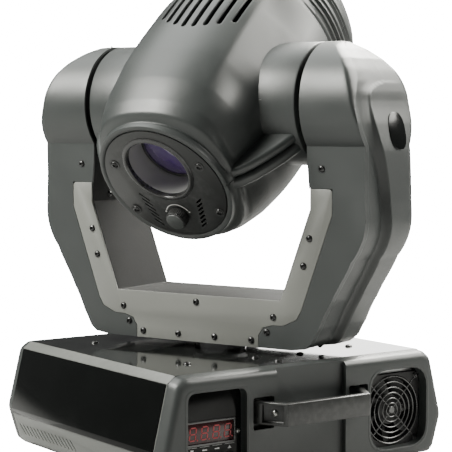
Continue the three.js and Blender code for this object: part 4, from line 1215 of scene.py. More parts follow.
    def display(self, sight: tuple, face: float) -> None:
        """The red window with its frame and four unlit seven-segment digits, which carry a faint painted
        glow.

        Args:
            sight: the window's spans across and upwards.
            face: the panel's face.
        """
        (x0, x1), (z0, z1) = sight
        pane = slab("display_pane", rectangle((x0 + 0.0002, x1 - 0.0002), (z0 + 0.0002, z1 - 0.0002)),
            (face + 0.0002, face + 0.0036), "y")
        soften(pane, 0.0003)
        self.fit(pane, DIGIT_BACK, "display_red", "display_window")
        edge = rounded(rectangle((x0 - 0.002, x1 + 0.002), (z0 - 0.002, z1 + 0.002)), 0.001, 3)
        rim = slab("display_rim", edge, (face - 0.0014, face), "y")
        carve(rim, slab("rim_hole", rectangle((x0, x1), (z0, z1)), (face - 0.01, face + 0.01), "y"))
        soften(rim, 0.0003)
        self.fit(rim, WIRE, "wire")
        parts = []
        pitch = (x1 - x0) / 4
        for i in range(4):
            middle = Vector((x0 + pitch * (i + 0.5), (z0 + z1) / 2))
            parts.extend(self.digit(f"digit_{i}", middle, face + 0.0002))
        # The unlit segments get a faint painted glow from their finish.
        self.fit(unite("display_digits", *parts), DIGIT_PAINTED_GLOW, "display_red")

    def digit(self, name: str, middle: Vector, face: float) -> list[Piece]:
        """The seven segments and the point of one digit.

        Args:
            name: a name to build the pieces' names from.
            middle: the digit's middle, across and up.
            face: where the segments' backs lie.

        Returns:
            The segments.
        """
        wide, high, bar = 0.0074, 0.0130, self.segment
        lean = 0.12
        bars = [((-wide / 2, k * high / 2), (wide / 2, k * high / 2)) for k in (-1, 0, 1)]
        bars += [((s * wide / 2, k * high / 2), (s * wide / 2, 0)) for s in (-1, 1) for k in (-1, 1)]
        made = []
        for i, (start, end) in enumerate(bars):
            a, b = Vector(start), Vector(end)
            run = (b - a).normalized()
            a, b, side = a + run * 0.0006, b - run * 0.0006, Vector((-run.y, run.x)) * bar / 2
            tip = run * bar / 2
            line = [a, a + tip + side, b - tip + side, b, b - tip - side, a + tip - side]
            line = [(middle.x + p.x + p.y * lean, middle.y + p.y) for p in line]
            made.append(slab(f"{name}_{i}", line, (face - 0.0003, face), "y"))
        dot = (middle.x + wide / 2 + 0.0018, middle.y - high / 2)
        made.append(rod(name + "_dot", 0.0008, (dot[0], face - 0.0003, dot[1]), (dot[0], face, dot[1]), 16))
        return made

    def key_marks(self, centres: Sequence[Pair], face: float) -> None:
        """Plain printed marks over the keys: an arrow on each outer key, a bar on each middle key and a line
        over each.

        Args:
            centres: the keys' middles.
            face: the panel's face.
        """
        marks = []
        high = centres[0][1] + 0.0095
        span = (face - 0.00015, face)
        for i, (x, _) in enumerate(centres):
            if i in (0, 3):
                lean = 1 if i else -1
                line = [(x - 0.0022, high - lean * 0.0015), (x + 0.0022, high - lean * 0.0015),
                    (x, high + lean * 0.0019)]
                marks.append(slab(f"mark_{i}", line, span, "y"))
            else:
                marks.append(slab(f"mark_{i}",
                        rectangle((x - 0.0028, x + 0.0028), (high - 0.0006, high + 0.0006)), span, "y"))
            marks.append(slab(f"rule_{i}",
                    rectangle((x - 0.006, x + 0.006), (high + 0.0034, high + 0.0037)), span, "y"))
        self.fit(unite("key_marks", *marks), PRINT, "button_plastic")

    def fan_unit(self) -> None:
        """The cooling fan: its square frame, its wheel and the wire guard over it."""
        low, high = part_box("base_fan_frame")
        middle = self.fan
        line = rounded(rectangle((low.x, high.x), (low.z, high.z)), 0.006)
        body = slab("fan_frame", line, (low.y, high.y), "y")
        bore = rod("bore", self.fan_bore, (middle.x, low.y - 0.01, middle.z),
            (middle.x, high.y - 0.003, middle.z), 72)
        flare = turned("flare", [(0, -0.001), (0.0391, -0.001), (self.fan_bore, 0.004), (0, 0.004)], "y",
            (middle.x, low.y, middle.z), 72)
        corners = [(sx, sz) for sx in (-1, 1) for sz in (-1, 1)]
        reach = self.fan_screw_reach
        holes = [rod(f"hole_{a}{b}", 0.0022, (middle.x + a * reach, low.y - 0.01, middle.z + b * reach),
                (middle.x + a * reach, high.y + 0.01, middle.z + b * reach), 16) for a, b in corners]
        carve(body, bore, flare, *holes)
        windows = []
        for i in range(4):
            turns = [math.pi / 4 * k / 6 * 1.75 + 0.12 for k in range(7)]
            ring = [polar(0.0365, t) for t in turns] + [polar(0.019, t) for t in reversed(turns)]
            tool = slab(f"window_{i}", ring, (high.y - 0.01, high.y + 0.01), "y")
            move = Matrix.Translation((middle.x, 0, middle.z))
            tool.data.transform(move @ Matrix.Rotation(i * math.pi / 2, 4, "Y"))
            windows.append(tool)
        carve(body, *windows)
        soften(body, 0.0004)
        self.fit(body, BLACK_PLASTIC, "black_plastic", "base_fan_frame")
        r_low, r_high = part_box("base_fan_rotor")
        wheel = fan_blades("base_fan_wheel", 0.017, 0.0362, r_high.y - r_low.y - 0.002, 7)
        wheel.data.transform(Matrix.Translation((middle.x, (r_low.y + r_high.y) / 2, middle.z)))
        self.fit(wheel, BLACK_PLASTIC, "black_plastic", "base_fan_rotor", body="base_fan_rotor")
        self.guard()

    def guard(self) -> None:
        """The wire guard: rings on crossed wires with an eye at each corner."""
        low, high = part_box("base_fan_guard")
        y = (low.y + high.y) / 2
        x, z = self.fan.x, self.fan.z
        wire = self.guard_wire
        parts = [hoop(f"ring_{i}", radius, wire, (x, y, z), (0, 1, 0)) for i,
            radius in enumerate(self.guard_rings)]
        parts.append(turned("guard_disc",
                [(0, -0.0005), (0.0035, -0.0005), (0.0040, 0), (0.0035, 0.0005), (0, 0.0005)],
                "y", (x, y, z), 32))
        reach = self.fan_screw_reach
        for i, (a, b) in enumerate([(1, 1), (1, -1)]):
            start = (x - a * reach * 0.94, y + 0.0009, z - b * reach * 0.94)
            end = (x + a * reach * 0.94, y + 0.0009, z + b * reach * 0.94)
            parts.append(rod(f"wire_{i}", wire, start, end, 12))
        eyes = [(a, b) for a in (-1, 1) for b in (-1, 1)]
        parts.extend(hoop(f"eye_{a}{b}", 0.0030, wire, (x + a * reach, y + 0.0006, z + b * reach), (0, 1, 0))
            for a, b in eyes)
        self.fit(unite("fan_wire_guard", *parts), WIRE, "wire", "base_fan_guard")
        screws = [((x + a * reach, y - 0.0006, z + b * reach), (0, -1, 0)) for a, b in eyes]
        self.fit(screw_set("fan_screws", screws, radius=0.0029, high=0.0016), BLACK_SCREW, "wire")

    def feet(self) -> None:
        """Four rubber feet, each with a recess in its underside."""
        for i in range(1, 5):
            low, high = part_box(f"rubber_foot_{i}")
            radius, tall = (high.x - low.x) / 2, high.z - low.z
            profile = [(0, 0), (radius, 0), (radius, -0.002), (radius - 0.0006, -0.0026),
                (radius - 0.003, -tall + 0.0012),
                (radius - 0.0042, -tall), (0.006, -tall), (0.0055, -tall + 0.0008),
                (0.0050, -tall + 0.005), (0, -tall + 0.005)]
            foot = turned(f"foot_{i}", profile, "z", ((low.x + high.x) / 2, (low.y + high.y) / 2, high.z), 48)
            self.fit(foot, RUBBER, "foot_rubber", f"rubber_foot_{i}")

    def sockets(self) -> None:
        """The mains inlet, the rocker switch and the two data sockets behind."""
        low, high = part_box("power_inlet")
        x, z, out = (low.x + high.x) / 2, (low.z + high.z) / 2, high.y
        flange = slab("inlet_flange", rounded(rectangle((low.x, high.x), (low.z, high.z)), 0.003),
            (out - 0.0022, out), "y")
        body = slab("inlet_body", rectangle((low.x + 0.003, high.x - 0.003), (low.z + 0.003, high.z - 0.003)),
            (low.y, out - 0.001), "y")
        mouth_line = [(x - 0.012, z - 0.008), (x + 0.012, z - 0.008), (x + 0.012, z + 0.004),
            (x + 0.008, z + 0.008), (x - 0.008, z + 0.008), (x - 0.012, z + 0.004)]
        inlet = carve(unite("inlet", flange, body),
            slab("mouth", mouth_line, (low.y + 0.002, out + 0.01), "y"))
        soften(inlet, 0.0004)
        self.fit(inlet, BLACK_PLASTIC, "black_plastic", "power_inlet")
        pins = [block(f"pin_{i}", (x + px - 0.001, low.y + 0.001, z + pz - 0.002),
                (x + px + 0.001, out - 0.003, z + pz + 0.002))
            for i, (px, pz) in enumerate([(-0.007, -0.0015), (0, 0.0025), (0.007, -0.0015)])]
        self.fit(soften(unite("inlet_pins", *pins), 0.0004), SCREW, "wire")
        low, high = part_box("power_switch")
        line = [(high.y - 0.013, low.z), (high.y, low.z), (high.y - 0.0012, low.z + 0.004),
            (high.y - 0.0022, (low.z + high.z) / 2),
            (high.y - 0.0028, high.z - 0.004), (high.y - 0.0026, high.z), (high.y - 0.013, high.z)]
        rocker = soften(slab("rocker", line, (low.x, high.x), "x"), 0.0006, 3, 25)
        self.fit(rocker, BLACK_PLASTIC, "black_plastic", "power_switch", body="power_switch")
        marks_z = low.z + 0.0055
        mark = block("rocker_mark", (-0.0004, 0, -0.0025), (0.0004, 0.0002, 0.0025))
        mark.data.transform(Matrix.Translation(((low.x + high.x) / 2, high.y - 0.00155, marks_z)))
        self.fit(mark, PRINT, "button_plastic", body="power_switch")
        self.data_sockets()

    def data_sockets(self) -> None:
        """Two round data sockets on one plate, each with a ring of contacts."""
        low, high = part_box("data_sockets")
        out = high.y
        plate = slab("socket_plate", rounded(rectangle((low.x, high.x), (low.z, high.z)), 0.003),
            (out - 0.0022, out), "y")
        body = slab("socket_body",
            rectangle((low.x + 0.005, high.x - 0.005), (low.z + 0.005, high.z - 0.005)),
            (low.y, out - 0.001), "y")
        z = (low.z + high.z) / 2
        middles = [(low.x + high.x) / 2 + s * 0.017 for s in (-1, 1)]
        tools = [rod(f"socket_bore_{i}", 0.009, (x, low.y + 0.002, z), (x, out + 0.01, z), 48) for i,
            x in enumerate(middles)]
        self.fit(soften(carve(unite("sockets", plate, body), *tools), 0.0004), BLACK_PAINT, "socket_metal",
            "data_sockets")
        rims = [turned(f"rim_{i}", [(0.0092, 0), (0.0125, 0), (0.0122, 0.0012), (0.0096, 0.0012)], "y",
                (x, out, z), 48)
            for i, x in enumerate(middles)]
        for rim in rims:
            edit(rim, face_outwards)
        self.fit(unite("socket_rims", *rims), SCREW, "wire")
        pins = []
        for i, x in enumerate(middles):
            for k in range(3):
                angle = math.radians(210 + 60 * k) if i else math.radians(30 + 60 * k)
                px, pz = x + 0.0045 * math.cos(angle), z + 0.0045 * math.sin(angle)
                pins.append(rod(f"contact_{i}{k}", 0.0011, (px, low.y + 0.0015, pz),
                        (px, low.y + 0.009, pz), 16))
        self.fit(soften(unite("socket_contacts", *pins), 0.0003), SCREW, "wire")

    def deck(self) -> None:
        """The glossy top plate's screws and the polished hub that the yoke turns on."""
        self.keep(DECK, "top_plate")
        spots = [(-0.0269, -0.1026), (-0.0194, -0.1336), (0.0303, -0.108), (0.0364, -0.1388),
            (-0.110, 0.095), (0.110, 0.095), (0.110, -0.095), (-0.110, -0.095)]
        screws = screw_set("deck_screws", [((x, y, self.top), (0, 0, 1)) for x, y in spots],
            radius=0.0042)
        self.fit(screws, BLACK_SCREW, "wire")
        low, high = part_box("pan_shaft")
        radius = (high.x - low.x) / 2 - 0.016
        neck = self.top + 0.0081
        profile = [(0.014, low.z), (radius + 0.016, low.z), (radius + 0.016, self.top - 0.0025),
            (radius, self.top - 0.0025), (radius, neck - 0.0008), (radius - 0.0008, neck),
            (0.020, neck + 0.001), (0.020, high.z), (0.014, high.z), (0.014, low.z)]
        self.fit(turned("pan_hub", profile, steps=96), HUB, "polished_hub", "pan_shaft")

    def build(self) -> None:
        """Builds the whole base."""
        self.side_panels()
        self.front_end()
        self.rear_end()
        self.handles()
        self.control_panel()
        self.fan_unit()
        self.feet()
        self.sockets()
        self.deck()
        self.keep(ZINC, "base_tray")
        self.keep(LAMINATE, "transformer")
        self.keep(MACHINED, "pan_pulley")


# ----------------------------------------------------------------------- yoke


def joint(name: str) -> dict:
    """One joint of the record, by name."""
    return next(j for j in frame["joints"] if j["name"] == name)


def tilt_axis() -> tuple[Vector, Vector]:
    """A point on the tilt axis and its direction."""
    found = joint("tilt")
    return Vector(found["pos_m"]), Vector(found["axis"]).normalized()


def yoke_place() -> Matrix:
    """The yoke's own frame: X along the tilt axis, Z up."""
    across = tilt_axis()[1]
    up = Vector((0, 0, 1))
    return Matrix((across, up.cross(across), up)).transposed().to_4x4()


def head_place() -> Matrix:
    """The head's own frame: X along the tilt axis, Y back along the beam."""
    centre, across = tilt_axis()
    back = -Vector(joint("focus_knob_turn")["axis"]).normalized()
    turn = Matrix((across, back, across.cross(back))).transposed().to_4x4()
    return Matrix.Translation(centre) @ turn


@dataclass
class Yoke(Assembly):
    """The fork: a cross bar and two arms, with screwed front and rear plates and moulded arm covers."""

    place: Matrix = field(default_factory=yoke_place)
    half_depth: float = 0.050
    arm_inner: float = 0.1451
    bar_top: float = 0.1789
    bar_corner: float = 0.1088
    knee: float = 0.2787
    cover_under: float = 0.1265
    cap_radius: float = 0.0672
    cap_proud: float = 0.0037
    plate_wall: float = 0.002
    plate_edge: float = 0.0268
    plate_rise: float = 0.1214
    shell: float = 0.0025
    rim_drop: float = 0.0082
    arm_line: tuple[Pair, ...] = (
        (0.1265, -0.014), (0.128, 0.001), (0.135, 0.010), (0.1509, 0.019), (0.1809, 0.034), (0.2249, 0.058),
        (0.2449, 0.070), (0.2629, 0.0744), (0.2859, 0.074), (0.3402, 0.072), (0.3692, 0.067), (0.3902, 0.062),
        (0.4052, 0.060), (0.4212, 0.055), (0.4382, 0.0425), (0.4487, 0.030), (0.4567, 0.018), (0.4574, 0.012))

    def __post_init__(self) -> None:
        """Reads the height of the tilt axis."""
        self.axis = tilt_axis()[0].z

    def plate_line(self) -> list[Pair]:
        """The right half of a plate's outline, from the middle of its top edge round to its foot."""
        edge = [(0.0268, 0.0944), (-0.0105, -0.0095), (-0.0165, -0.0195), (-0.0327, -0.0266),
            (-0.047, -0.0272), (-0.0585, -0.0305), (-0.0639, -0.0396), (-0.0639, -0.0528)]
        outline = [(self.bar_corner, self.bar_top), (self.arm_inner, self.knee),
            (self.arm_inner, self.bar_top + self.plate_rise),
            (self.arm_inner + self.plate_edge, self.bar_top + self.plate_rise)]
        outline += [(self.arm_inner + out, self.bar_top + up) for out, up in edge]
        return outline

    def plates(self) -> None:
        """The front and rear plates and every screw in them and in the covers beside them."""
        line = self.plate_line()
        corners = [line[0], line[1], line[2], *rounded(line[2:5] + [line[1]], 0.004, 3)[4:8], *line[4:]]
        outline = mirrored(corners)
        plate = slab("plate_pattern", outline, (-self.half_depth, -self.half_depth + self.plate_wall), "y")
        soften(plate, 0.0005, 2, 25)
        base_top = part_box("top_plate")[1].z
        places = [(0.1445, 0.1306), (0.1373, 0.101), (0.100, 0.0437), (0.0723, 0.0169), (0.0243, 0.0169)]
        covers = [(0.1593, 0.2048), (0.0918, 0.027)]
        spots = [(s * x, base_top + w) for x,
            w in places + covers for s in (-1, 1)] + [(0.0, base_top + 0.0539)]
        screws = screw_set("plate_screws", [((x, -self.half_depth, z), (0, -1, 0)) for x, z in spots])
        rear = Matrix.Scale(-1, 4, (0, 1, 0))
        for side, move in (("front", Matrix.Identity(4)), ("rear", rear)):
            self.fit(copy_of(plate, f"yoke_plate_{side}", move), PLATE, "grey_plate", f"yoke_{side}_plate")
            self.fit(copy_of(screws, f"yoke_screws_{side}", move), BLACK_SCREW, "wire")
        bpy.data.objects.remove(plate)
        bpy.data.objects.remove(screws)

    def outer(self, z: float) -> float:
        """How far out an arm's raised outer face lies at a height."""
        return self.arm_inner + along(self.arm_line, z)[0]

    def inner(self, z: float) -> float:
        """How far out an arm's inner edge lies at a height."""
        lobe = self.arm_inner - 0.0636
        if z < self.bar_top:
            return lobe
        if z < self.knee:
            share = (z - self.bar_top) / (self.knee - self.bar_top)
            return self.bar_corner + (self.arm_inner - self.bar_corner) * share
        return self.arm_inner - self.cap_proud * ease(z, self.knee, self.axis - 0.05)

    def half_width(self, z: float) -> float:
        """Half of an arm's depth at a height: flat-sided below, round about the tilt axis above."""
        up = z - self.axis
        if up < -math.sqrt(self.cap_radius**2 - self.half_depth**2):
            return self.half_depth
        return math.sqrt(max(1e-8, self.cap_radius**2 - up * up))

    def relief(self, y: float, z: float, half: float) -> float:
        """How far the outer face is sunk below its raised pad: a rim strip, a scoop and the pad's edge.

        Args:
            y: across the arm, with the front side negative.
            z: the height.
            half: half of the arm's depth there.

        Returns:
            The depth.
        """
        deep = 0.0016 + (self.rim_drop - 0.0016) * (1 - ease(z, self.axis - 0.085, self.axis + 0.012))
        top = self.axis + 0.024
        pad = 0.002 - 0.012 * ease(z, self.bar_top, self.axis - 0.07)
        pad -= 0.020 * ease(z, self.axis - 0.10, self.axis - 0.005)
        pad += 0.040 * max(0.0, (z - top + 0.018) / 0.018) ** 3 if z < top else 0.04
        from_edge = y + half
        share = min(1.0, max(0.0, (from_edge - 0.008) / max(0.004, pad - 0.003 + half - 0.008)))
        front = deep * (1 + 0.6 * math.sin(math.pi * share))
        raised = 0.0 if z >= top else ease(y, pad - 0.0040, pad + 0.0010)
        back = ease(-(half - y), -0.014, -0.002) * self.rim_drop * 0.5
        return max(front * (1 - raised), back)

    def edge_line(self, z: float) -> float:
        """How far out the front edge of an arm's outer shell lies at a height."""
        table = ((0.1265, 0.0), (0.3400, 0.2085), (0.3480, 0.2010), (0.3750, 0.1965), (0.4000, 0.1935),
            (0.4250, 0.1875), (0.4430, 0.1800), (0.4574, 0.1610))
        low = self.outer(z) - self.rim_drop - 0.0015
        if z < table[1][0]:
            return low
        i = max(k for k in range(1, len(table) - 1) if table[k][0] <= z)
        (z0, x0), (z1, x1) = table[i], table[i + 1]
        return min(low, x0 + (x1 - x0) * ease(z, z0, z1) if i == 1 else x0 + (x1 - x0) * (z - z0) / (z1 - z0))

    def arm_rows(self) -> list[list[tuple[float, float, float]]]:
        """The arm cover's sections, from its underside up and over its round top."""
        knuckle = math.asin(math.sqrt(self.cap_radius**2 - self.half_depth**2) / self.cap_radius)
        low_end = self.axis - self.cap_radius * math.sin(knuckle)
        levels = [self.cover_under + (low_end - self.cover_under) * i / 96 for i in range(97)]
        levels += [self.axis + self.cap_radius * math.sin(-knuckle + (knuckle + 1.54) * i / 84)
            for i in range(1, 85)]
        rows = []
        for z in levels:
            half = self.half_width(z)
            inside, out = self.inner(z), self.outer(z)
            edge = max(inside + 0.004, min(self.edge_line(z), out - 0.002))
            squareness = 9.0 - 6.6 * ease(z, low_end - 0.005, self.axis + 0.055)
            front = [(inside + (edge - inside) * k / 20, -half, z) for k in range(20)]
            row = list(front)
            for k in range(141):
                share = math.sin(math.pi / 2 * 0.985 * (k / 70 - 1)) / math.sin(math.pi / 2 * 0.985)
                x = edge + (out - edge) * max(0.0, 1 - abs(share) ** squareness) ** (1 / squareness)
                y = half * share
                row.append((max(edge, min(x, out - self.relief(y, z, half))), y, z))
            row += [(x, -y, z) for x, y, z in reversed(front)]
            rows.append(row)
        first = [(x, y * 0.02, z) for x, y, z in rows[0]]
        last = [(x, y * 0.02, z) for x, y, z in rows[-1]]
        return [first, *rows, last]

    def arms(self) -> None:
        """The two moulded arm covers with their drums and badges."""
        cover = skin("arm_shell", self.arm_rows())
        edit(cover, face_outwards)
        middle = cover.data.polygons[len(cover.data.polygons) // 2]
        if middle.normal.x < 0:
            cover.data.flip_normals()
        thicken(cover, self.shell)
        seat = [(0.0, self.bar_top - 0.07), (0.0, self.bar_top + self.plate_rise + 0.0004),
            (self.arm_inner + self.plate_edge + 0.0004, self.bar_top + self.plate_rise + 0.0004)]
        edge = self.plate_line()[4:]
        seat += [(x + 0.0004, z - 0.0003) for x, z in edge] + [(edge[-1][0] + 0.0004, self.bar_top - 0.07)]
        deep = (self.half_depth - self.plate_wall - 0.0002, self.half_depth + 0.001)
        spans = ((-deep[1], -deep[0]), deep)
        tools = [slab(f"seat_{s}", seat, span, "y") for s, span in zip((-1, 1), spans)]
        carve(cover, *tools)
        badge_at = Vector((self.outer(self.axis - 0.029), 0.0165, self.axis - 0.029))
        lean = math.atan2(self.outer(self.axis - 0.012) - self.outer(self.axis - 0.046), 0.034)
        for side, flip in (("right", 1), ("left", -1)):
            move = Matrix.Scale(flip, 4, (1, 0, 0))
            self.fit(copy_of(cover, f"arm_moulding_{side}", move), COVER, "grey_cover", f"arm_cover_{side}",
                smooth=38)
            badge = self.badge(badge_at, lean)
            badge.data.transform(move)
            if flip < 0:
                badge.data.flip_normals()
            badge.name = f"arm_badge_{side}"
            self.fit(badge, OVERLAY, "black_plastic")
        bpy.data.objects.remove(cover)

    def badge(self, centre: Vector, lean: float) -> Piece:
        """A blank oval badge set on the arm's raised pad.

        Args:
            centre: its middle.
            lean: how far it leans with the pad.

        Returns:
            The badge.
        """
        outline = [(0.0185 * math.copysign(abs(math.cos(t)) ** 0.8, math.cos(t)),
                0.0205 * math.copysign(abs(math.sin(t)) ** 0.8, math.sin(t))) for t in
            [math.tau * k / 48 for k in range(48)]]
        made = slab("arm_badge", outline, (-0.0008, 0.0009), "x")
        soften(made, 0.0006, 3)
        made.data.transform(Matrix.Translation(centre) @ Matrix.Rotation(lean, 4, "Y"))
        return made

    def inner_screws(self) -> None:
        """The screws in the arms' inner faces."""
        base_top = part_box("top_plate")[1].z
        spots = [(-0.016, 0.107 + 0.062), (0.023, 0.106 + 0.062), (0.002, 0.069 + 0.1)]
        places = []
        for side in (-1, 1):
            places += [((side * self.arm_inner, y, base_top + w), (-side, 0, 0)) for y, w in spots]
        self.fit(screw_set("inner_arm_screws", places, radius=0.0034), BLACK_SCREW, "wire")

    def build(self) -> None:
        """Builds the whole yoke."""
        self.plates()
        self.arms()
        self.inner_screws()
        self.keep(INSIDE, "yoke_bar", "arm_plate_right", "arm_plate_left")
        self.keep(MACHINED, "pan_bearing", "tilt_bearing_right", "tilt_bearing_left", "pan_motor_pulley",
            "tilt_motor_pulley")
        self.keep(MOTOR, "pan_motor", "tilt_motor")
        self.keep(BELT, "pan_belt", "tilt_belt")


# ----------------------------------------------------------------------- head


@dataclass
class Head(Assembly):
    """The optical head: two moulded covers, a rear cap, a front plate with the lens, and the works inside."""

    place: Matrix = field(default_factory=head_place)
    half: float = 0.107
    rise: float = 0.113
    power: float = 2.3
    front: float = 0.139
    seam: float = 0.146
    rear: float = 0.184
    shell: float = 0.0025
    collar_radius: float = 0.067
    collar_end: float = 0.1354
    mouth: float = 0.0736
    plate_radius: float = 0.073
    lens_rise: float = 0.0214
    lens_radius: float = 0.0367
    bezel_radius: float = 0.0429
    lens_back: float = 0.034
    knob_drop: float = 0.0442
    knob_radius: float = 0.012
    slots: tuple[float, ...] = (0.014, 0.004, -0.0025, -0.007, -0.007, -0.004, 0.002, 0.011)
    stations: tuple[tuple[float, float, float], ...] = (
        (-0.139, 0.73, 0.68), (-0.1293, 0.79, 0.75), (-0.1112, 0.87, 0.83), (-0.0834, 0.94, 0.91),
        (-0.0417, 0.995, 0.97),
        (0.0139, 1.0, 1.0), (0.0556, 0.99, 1.0), (0.0973, 0.95, 0.96), (0.1288, 0.935, 0.94),
        (0.1656, 0.86, 0.87), (0.184, 0.74, 0.74))

    def radius_at(self, angle: float, y: float) -> float:
        """How far from the beam's axis the skin lies.

        Args:
            angle: the direction, counted from the tilt axis upwards.
            y: the place along the beam.

        Returns:
            The distance.
        """
        wide, high = along(self.stations, y)
        c, s = abs(math.cos(angle)), abs(math.sin(angle))
        reach = ((c / (self.half * wide)) ** self.power
            + (s / (self.rise * high)) ** self.power) ** (-1 / self.power)
        if s * math.sin(angle) > 0:
            crease = math.radians(36)
            lean = math.acos(min(1.0, c)) - crease
            strength = ease(y, -0.100, -0.05) * (1 - ease(y, 0.05, 0.10))
            here = ((math.cos(crease) / (self.half * wide)) ** self.power
                + (math.sin(crease) / (self.rise * high)) ** self.power) ** (-1 / self.power)
            chord = (here - 0.0052) / max(0.3, math.cos(lean))
            reach += (min(reach, chord) - reach) * strength
        hood = 1 - ease(y, -self.front, -self.front + 0.016)
        reach += (0.0795 - reach) * hood
        low = 1 - ease(abs(math.sin(angle)), 0.30, 0.80)
        reach -= 0.0105 * low * ease(y, -self.front + 0.006, -0.112) * (1 - ease(y, -0.070, -0.020))
        rise = reach * math.sin(angle)
        groove = math.exp(-(((y + self.front - 0.0095) / 0.0026) ** 2)) * ease(rise, 0.004, 0.022)
        return reach - 0.0046 * groove

    def ribbed(self, angle: float, y: float) -> float:
        """The skin with the stepped ribs at its sides in front of the rear cap."""
        reach = self.radius_at(angle, y)
        at_side = 1 - ease(abs(math.sin(angle)), 0.45, 0.75)
        if 0.092 < y < self.seam - 0.002:
            step = ((y - 0.092) / 0.0095) % 1.0
            reach -= 0.004 * at_side * (step if step < 0.82 else (1 - step) / 0.18) * ease(y, 0.092, 0.104)
        return reach

    def cover(self, name: str, start: float, end: float, lip: float) -> Piece:
        """One of the two main covers.

        Args:
            name: the piece's name.
            start: its first direction.
            end: its last direction.
            lip: which way its seam edge is drawn away from the seam.

        Returns:
            The cover, with its wall.
        """
        steps = 96
        places = [-self.front + 0.0008 * k for k in range(22)]
        places += [places[-1] + (self.seam - 0.0003 - places[-1]) * k / 150 for k in range(1, 151)]
        rows = []
        mouth_row = []
        for i in range(steps + 1):
            angle = start + (end - start) * i / steps
            mouth_row.append((self.mouth * math.cos(angle), -self.front + 0.0006,
                    self.mouth * math.sin(angle)))
        rows.append([(x, y + 0.009, z) for x, y, z in mouth_row])
        rows.append(mouth_row)
        rows.append([(x * 1.035, y - 0.0011, z * 1.035) for x, y, z in mouth_row])
        for y in places:
            row = []
            for i in range(steps + 1):
                angle = start + (end - start) * i / steps
                reach = self.ribbed(angle, y)
                x, z = reach * math.cos(angle), reach * math.sin(angle)
                row.append((x, y, z + lip * 0.0003))
            rows.append(row)
        made = skin(name, rows)
        edit(made, face_outwards)
        middle = made.data.polygons[len(made.data.polygons) // 2]
        if middle.normal.z * lip < 0:
            made.data.flip_normals()
        return thicken(made, self.shell)

    def wing(self, name: str, side: int, lip: int) -> Piece:
        """One lip of the wing along the seam, from the front plate out to a collar.

        Args:
            name: the piece's name.
            side: 1 on the right, -1 on the left.
            lip: 1 for the upper lip, -1 for the lower.

        Returns:
            The lip.
        """
        back = 0.0 if lip < 0 else 0.0030
        line = [(0.058, -0.126), (0.0765, -0.1335 + back), (0.0880, -0.1275 + back), (0.1000, -0.1165 + back),
            (0.1115, -0.1020 + back), (0.1210, -0.0880 + back), (0.1290, -0.0735 + back),
            (self.collar_end - 0.0008, -0.0600 + back), (self.collar_end - 0.0008, -0.02),
            (0.085, -0.02), (0.066, -0.07)]
        rows = [(side * x, y) for x, y in line]
        span = (0.0004, 0.0115) if lip > 0 else (-0.0125, -0.0004)
        made = slab(name, rows, span, "z")
        return soften(made, 0.0045, 5, 30)

    def collar(self, side: int) -> Piece:
        """The round shoulder that faces an arm."""
        end, radius = self.collar_end, self.collar_radius
        profile = [(0.026, end - 0.003), (0.026, end), (radius - 0.0022, end),
            (radius - 0.0006, end - 0.0007),
            (radius, end - 0.0022), (radius, 0.080), (radius - self.shell, 0.080),
            (radius - self.shell, end - 0.003), (0.026, end - 0.003)]
        made = turned(f"collar_{side}", profile, "x", steps=128)
        if side < 0:
            made.data.transform(Matrix.Scale(-1, 4, (1, 0, 0)))
            made.data.flip_normals()
        return made

    def covers(self) -> None:
        """The upper and lower covers with their slots, wings and collars."""
        upper = self.cover("upper_shell", 0.0, math.pi, 1)
        cutters = []
        for i, front in enumerate(self.slots):
            x = (i - 3.5) * 0.0132 + 0.0062
            half_round = [(x + 0.0031 * math.cos(t), front + 0.0031 - 0.0031 * abs(math.sin(t)))
                for t in [math.pi * k / 8 for k in range(9)]]
            line = [*half_round, (x - 0.0031, 0.118), (x + 0.0031, 0.118)]
            cutters.append(slab(f"slot_{i}", line, (0.06, 0.2), "z"))
        carve(upper, *cutters)
        soften(upper, 0.0007, 2, 50)
        upper = unite("head_upper_moulding", upper, *[self.wing(f"wing_{s}", s, 1) for s in (-1, 1)])
        self.fit(upper, COVER, "grey_cover", "head_top_cover", smooth=32)
        lower = self.cover("lower_shell", math.pi, math.tau, -1)
        lower = unite("head_lower_moulding", lower, *[self.wing(f"low_wing_{s}", s, -1) for s in (-1, 1)])
        self.fit(lower, COVER, "grey_cover", "head_bottom_cover", smooth=32)
        shoulders = unite("head_shoulders", *[self.collar(s) for s in (-1, 1)])
        self.fit(shoulders, COVER, "grey_cover", smooth=32)

    def rear_cap(self) -> None:
        """The cap behind the seam, with its grille."""
        rows = []
        profile = [(self.seam + 0.0003, 0.0), (self.seam + 0.004, -0.0006), (self.seam + 0.012, 0.0),
            (self.seam + 0.024, 0.0)]
        profile += [(self.rear - 0.0085 + 0.0085 * math.sin(t), 0.009 * (1 - math.cos(t))) for t in
            [math.pi / 2 * k / 8 for k in range(9)]]
        steps = 144
        for y, inset in profile:
            reach = [self.radius_at(math.tau * i / steps, y) - inset for i in range(steps)]
            spots = [(r, math.tau * i / steps) for i, r in enumerate(reach)]
            rows.append([(r * math.cos(t), y, r * math.sin(t)) for r, t in spots])
        last = rows[-1]
        for share in (0.8, 0.6, 0.4, 0.2, 0.03):
            rows.append([(x * share, self.rear, z * share) for x, _, z in last])
        cap = skin("rear_shell", rows, True)
        edit(cap, face_outwards)
        if cap.data.polygons[-1].normal.y < 0:
            cap.data.flip_normals()
        thicken(cap, self.shell)
        bars = []
        for z in (-0.030, -0.018, -0.006, 0.006, 0.018, 0.030):
            half = math.sqrt(0.038**2 - z**2)
            line = rounded(rectangle((-half, half), (z - 0.003, z + 0.003)), 0.003, 4)
            bars.append(slab("grille_slot", line, (self.rear - 0.01, self.rear + 0.01), "y"))
        carve(cap, *bars)
        self.fit(cap, COVER, "grey_cover", "head_rear_cap", smooth=40)

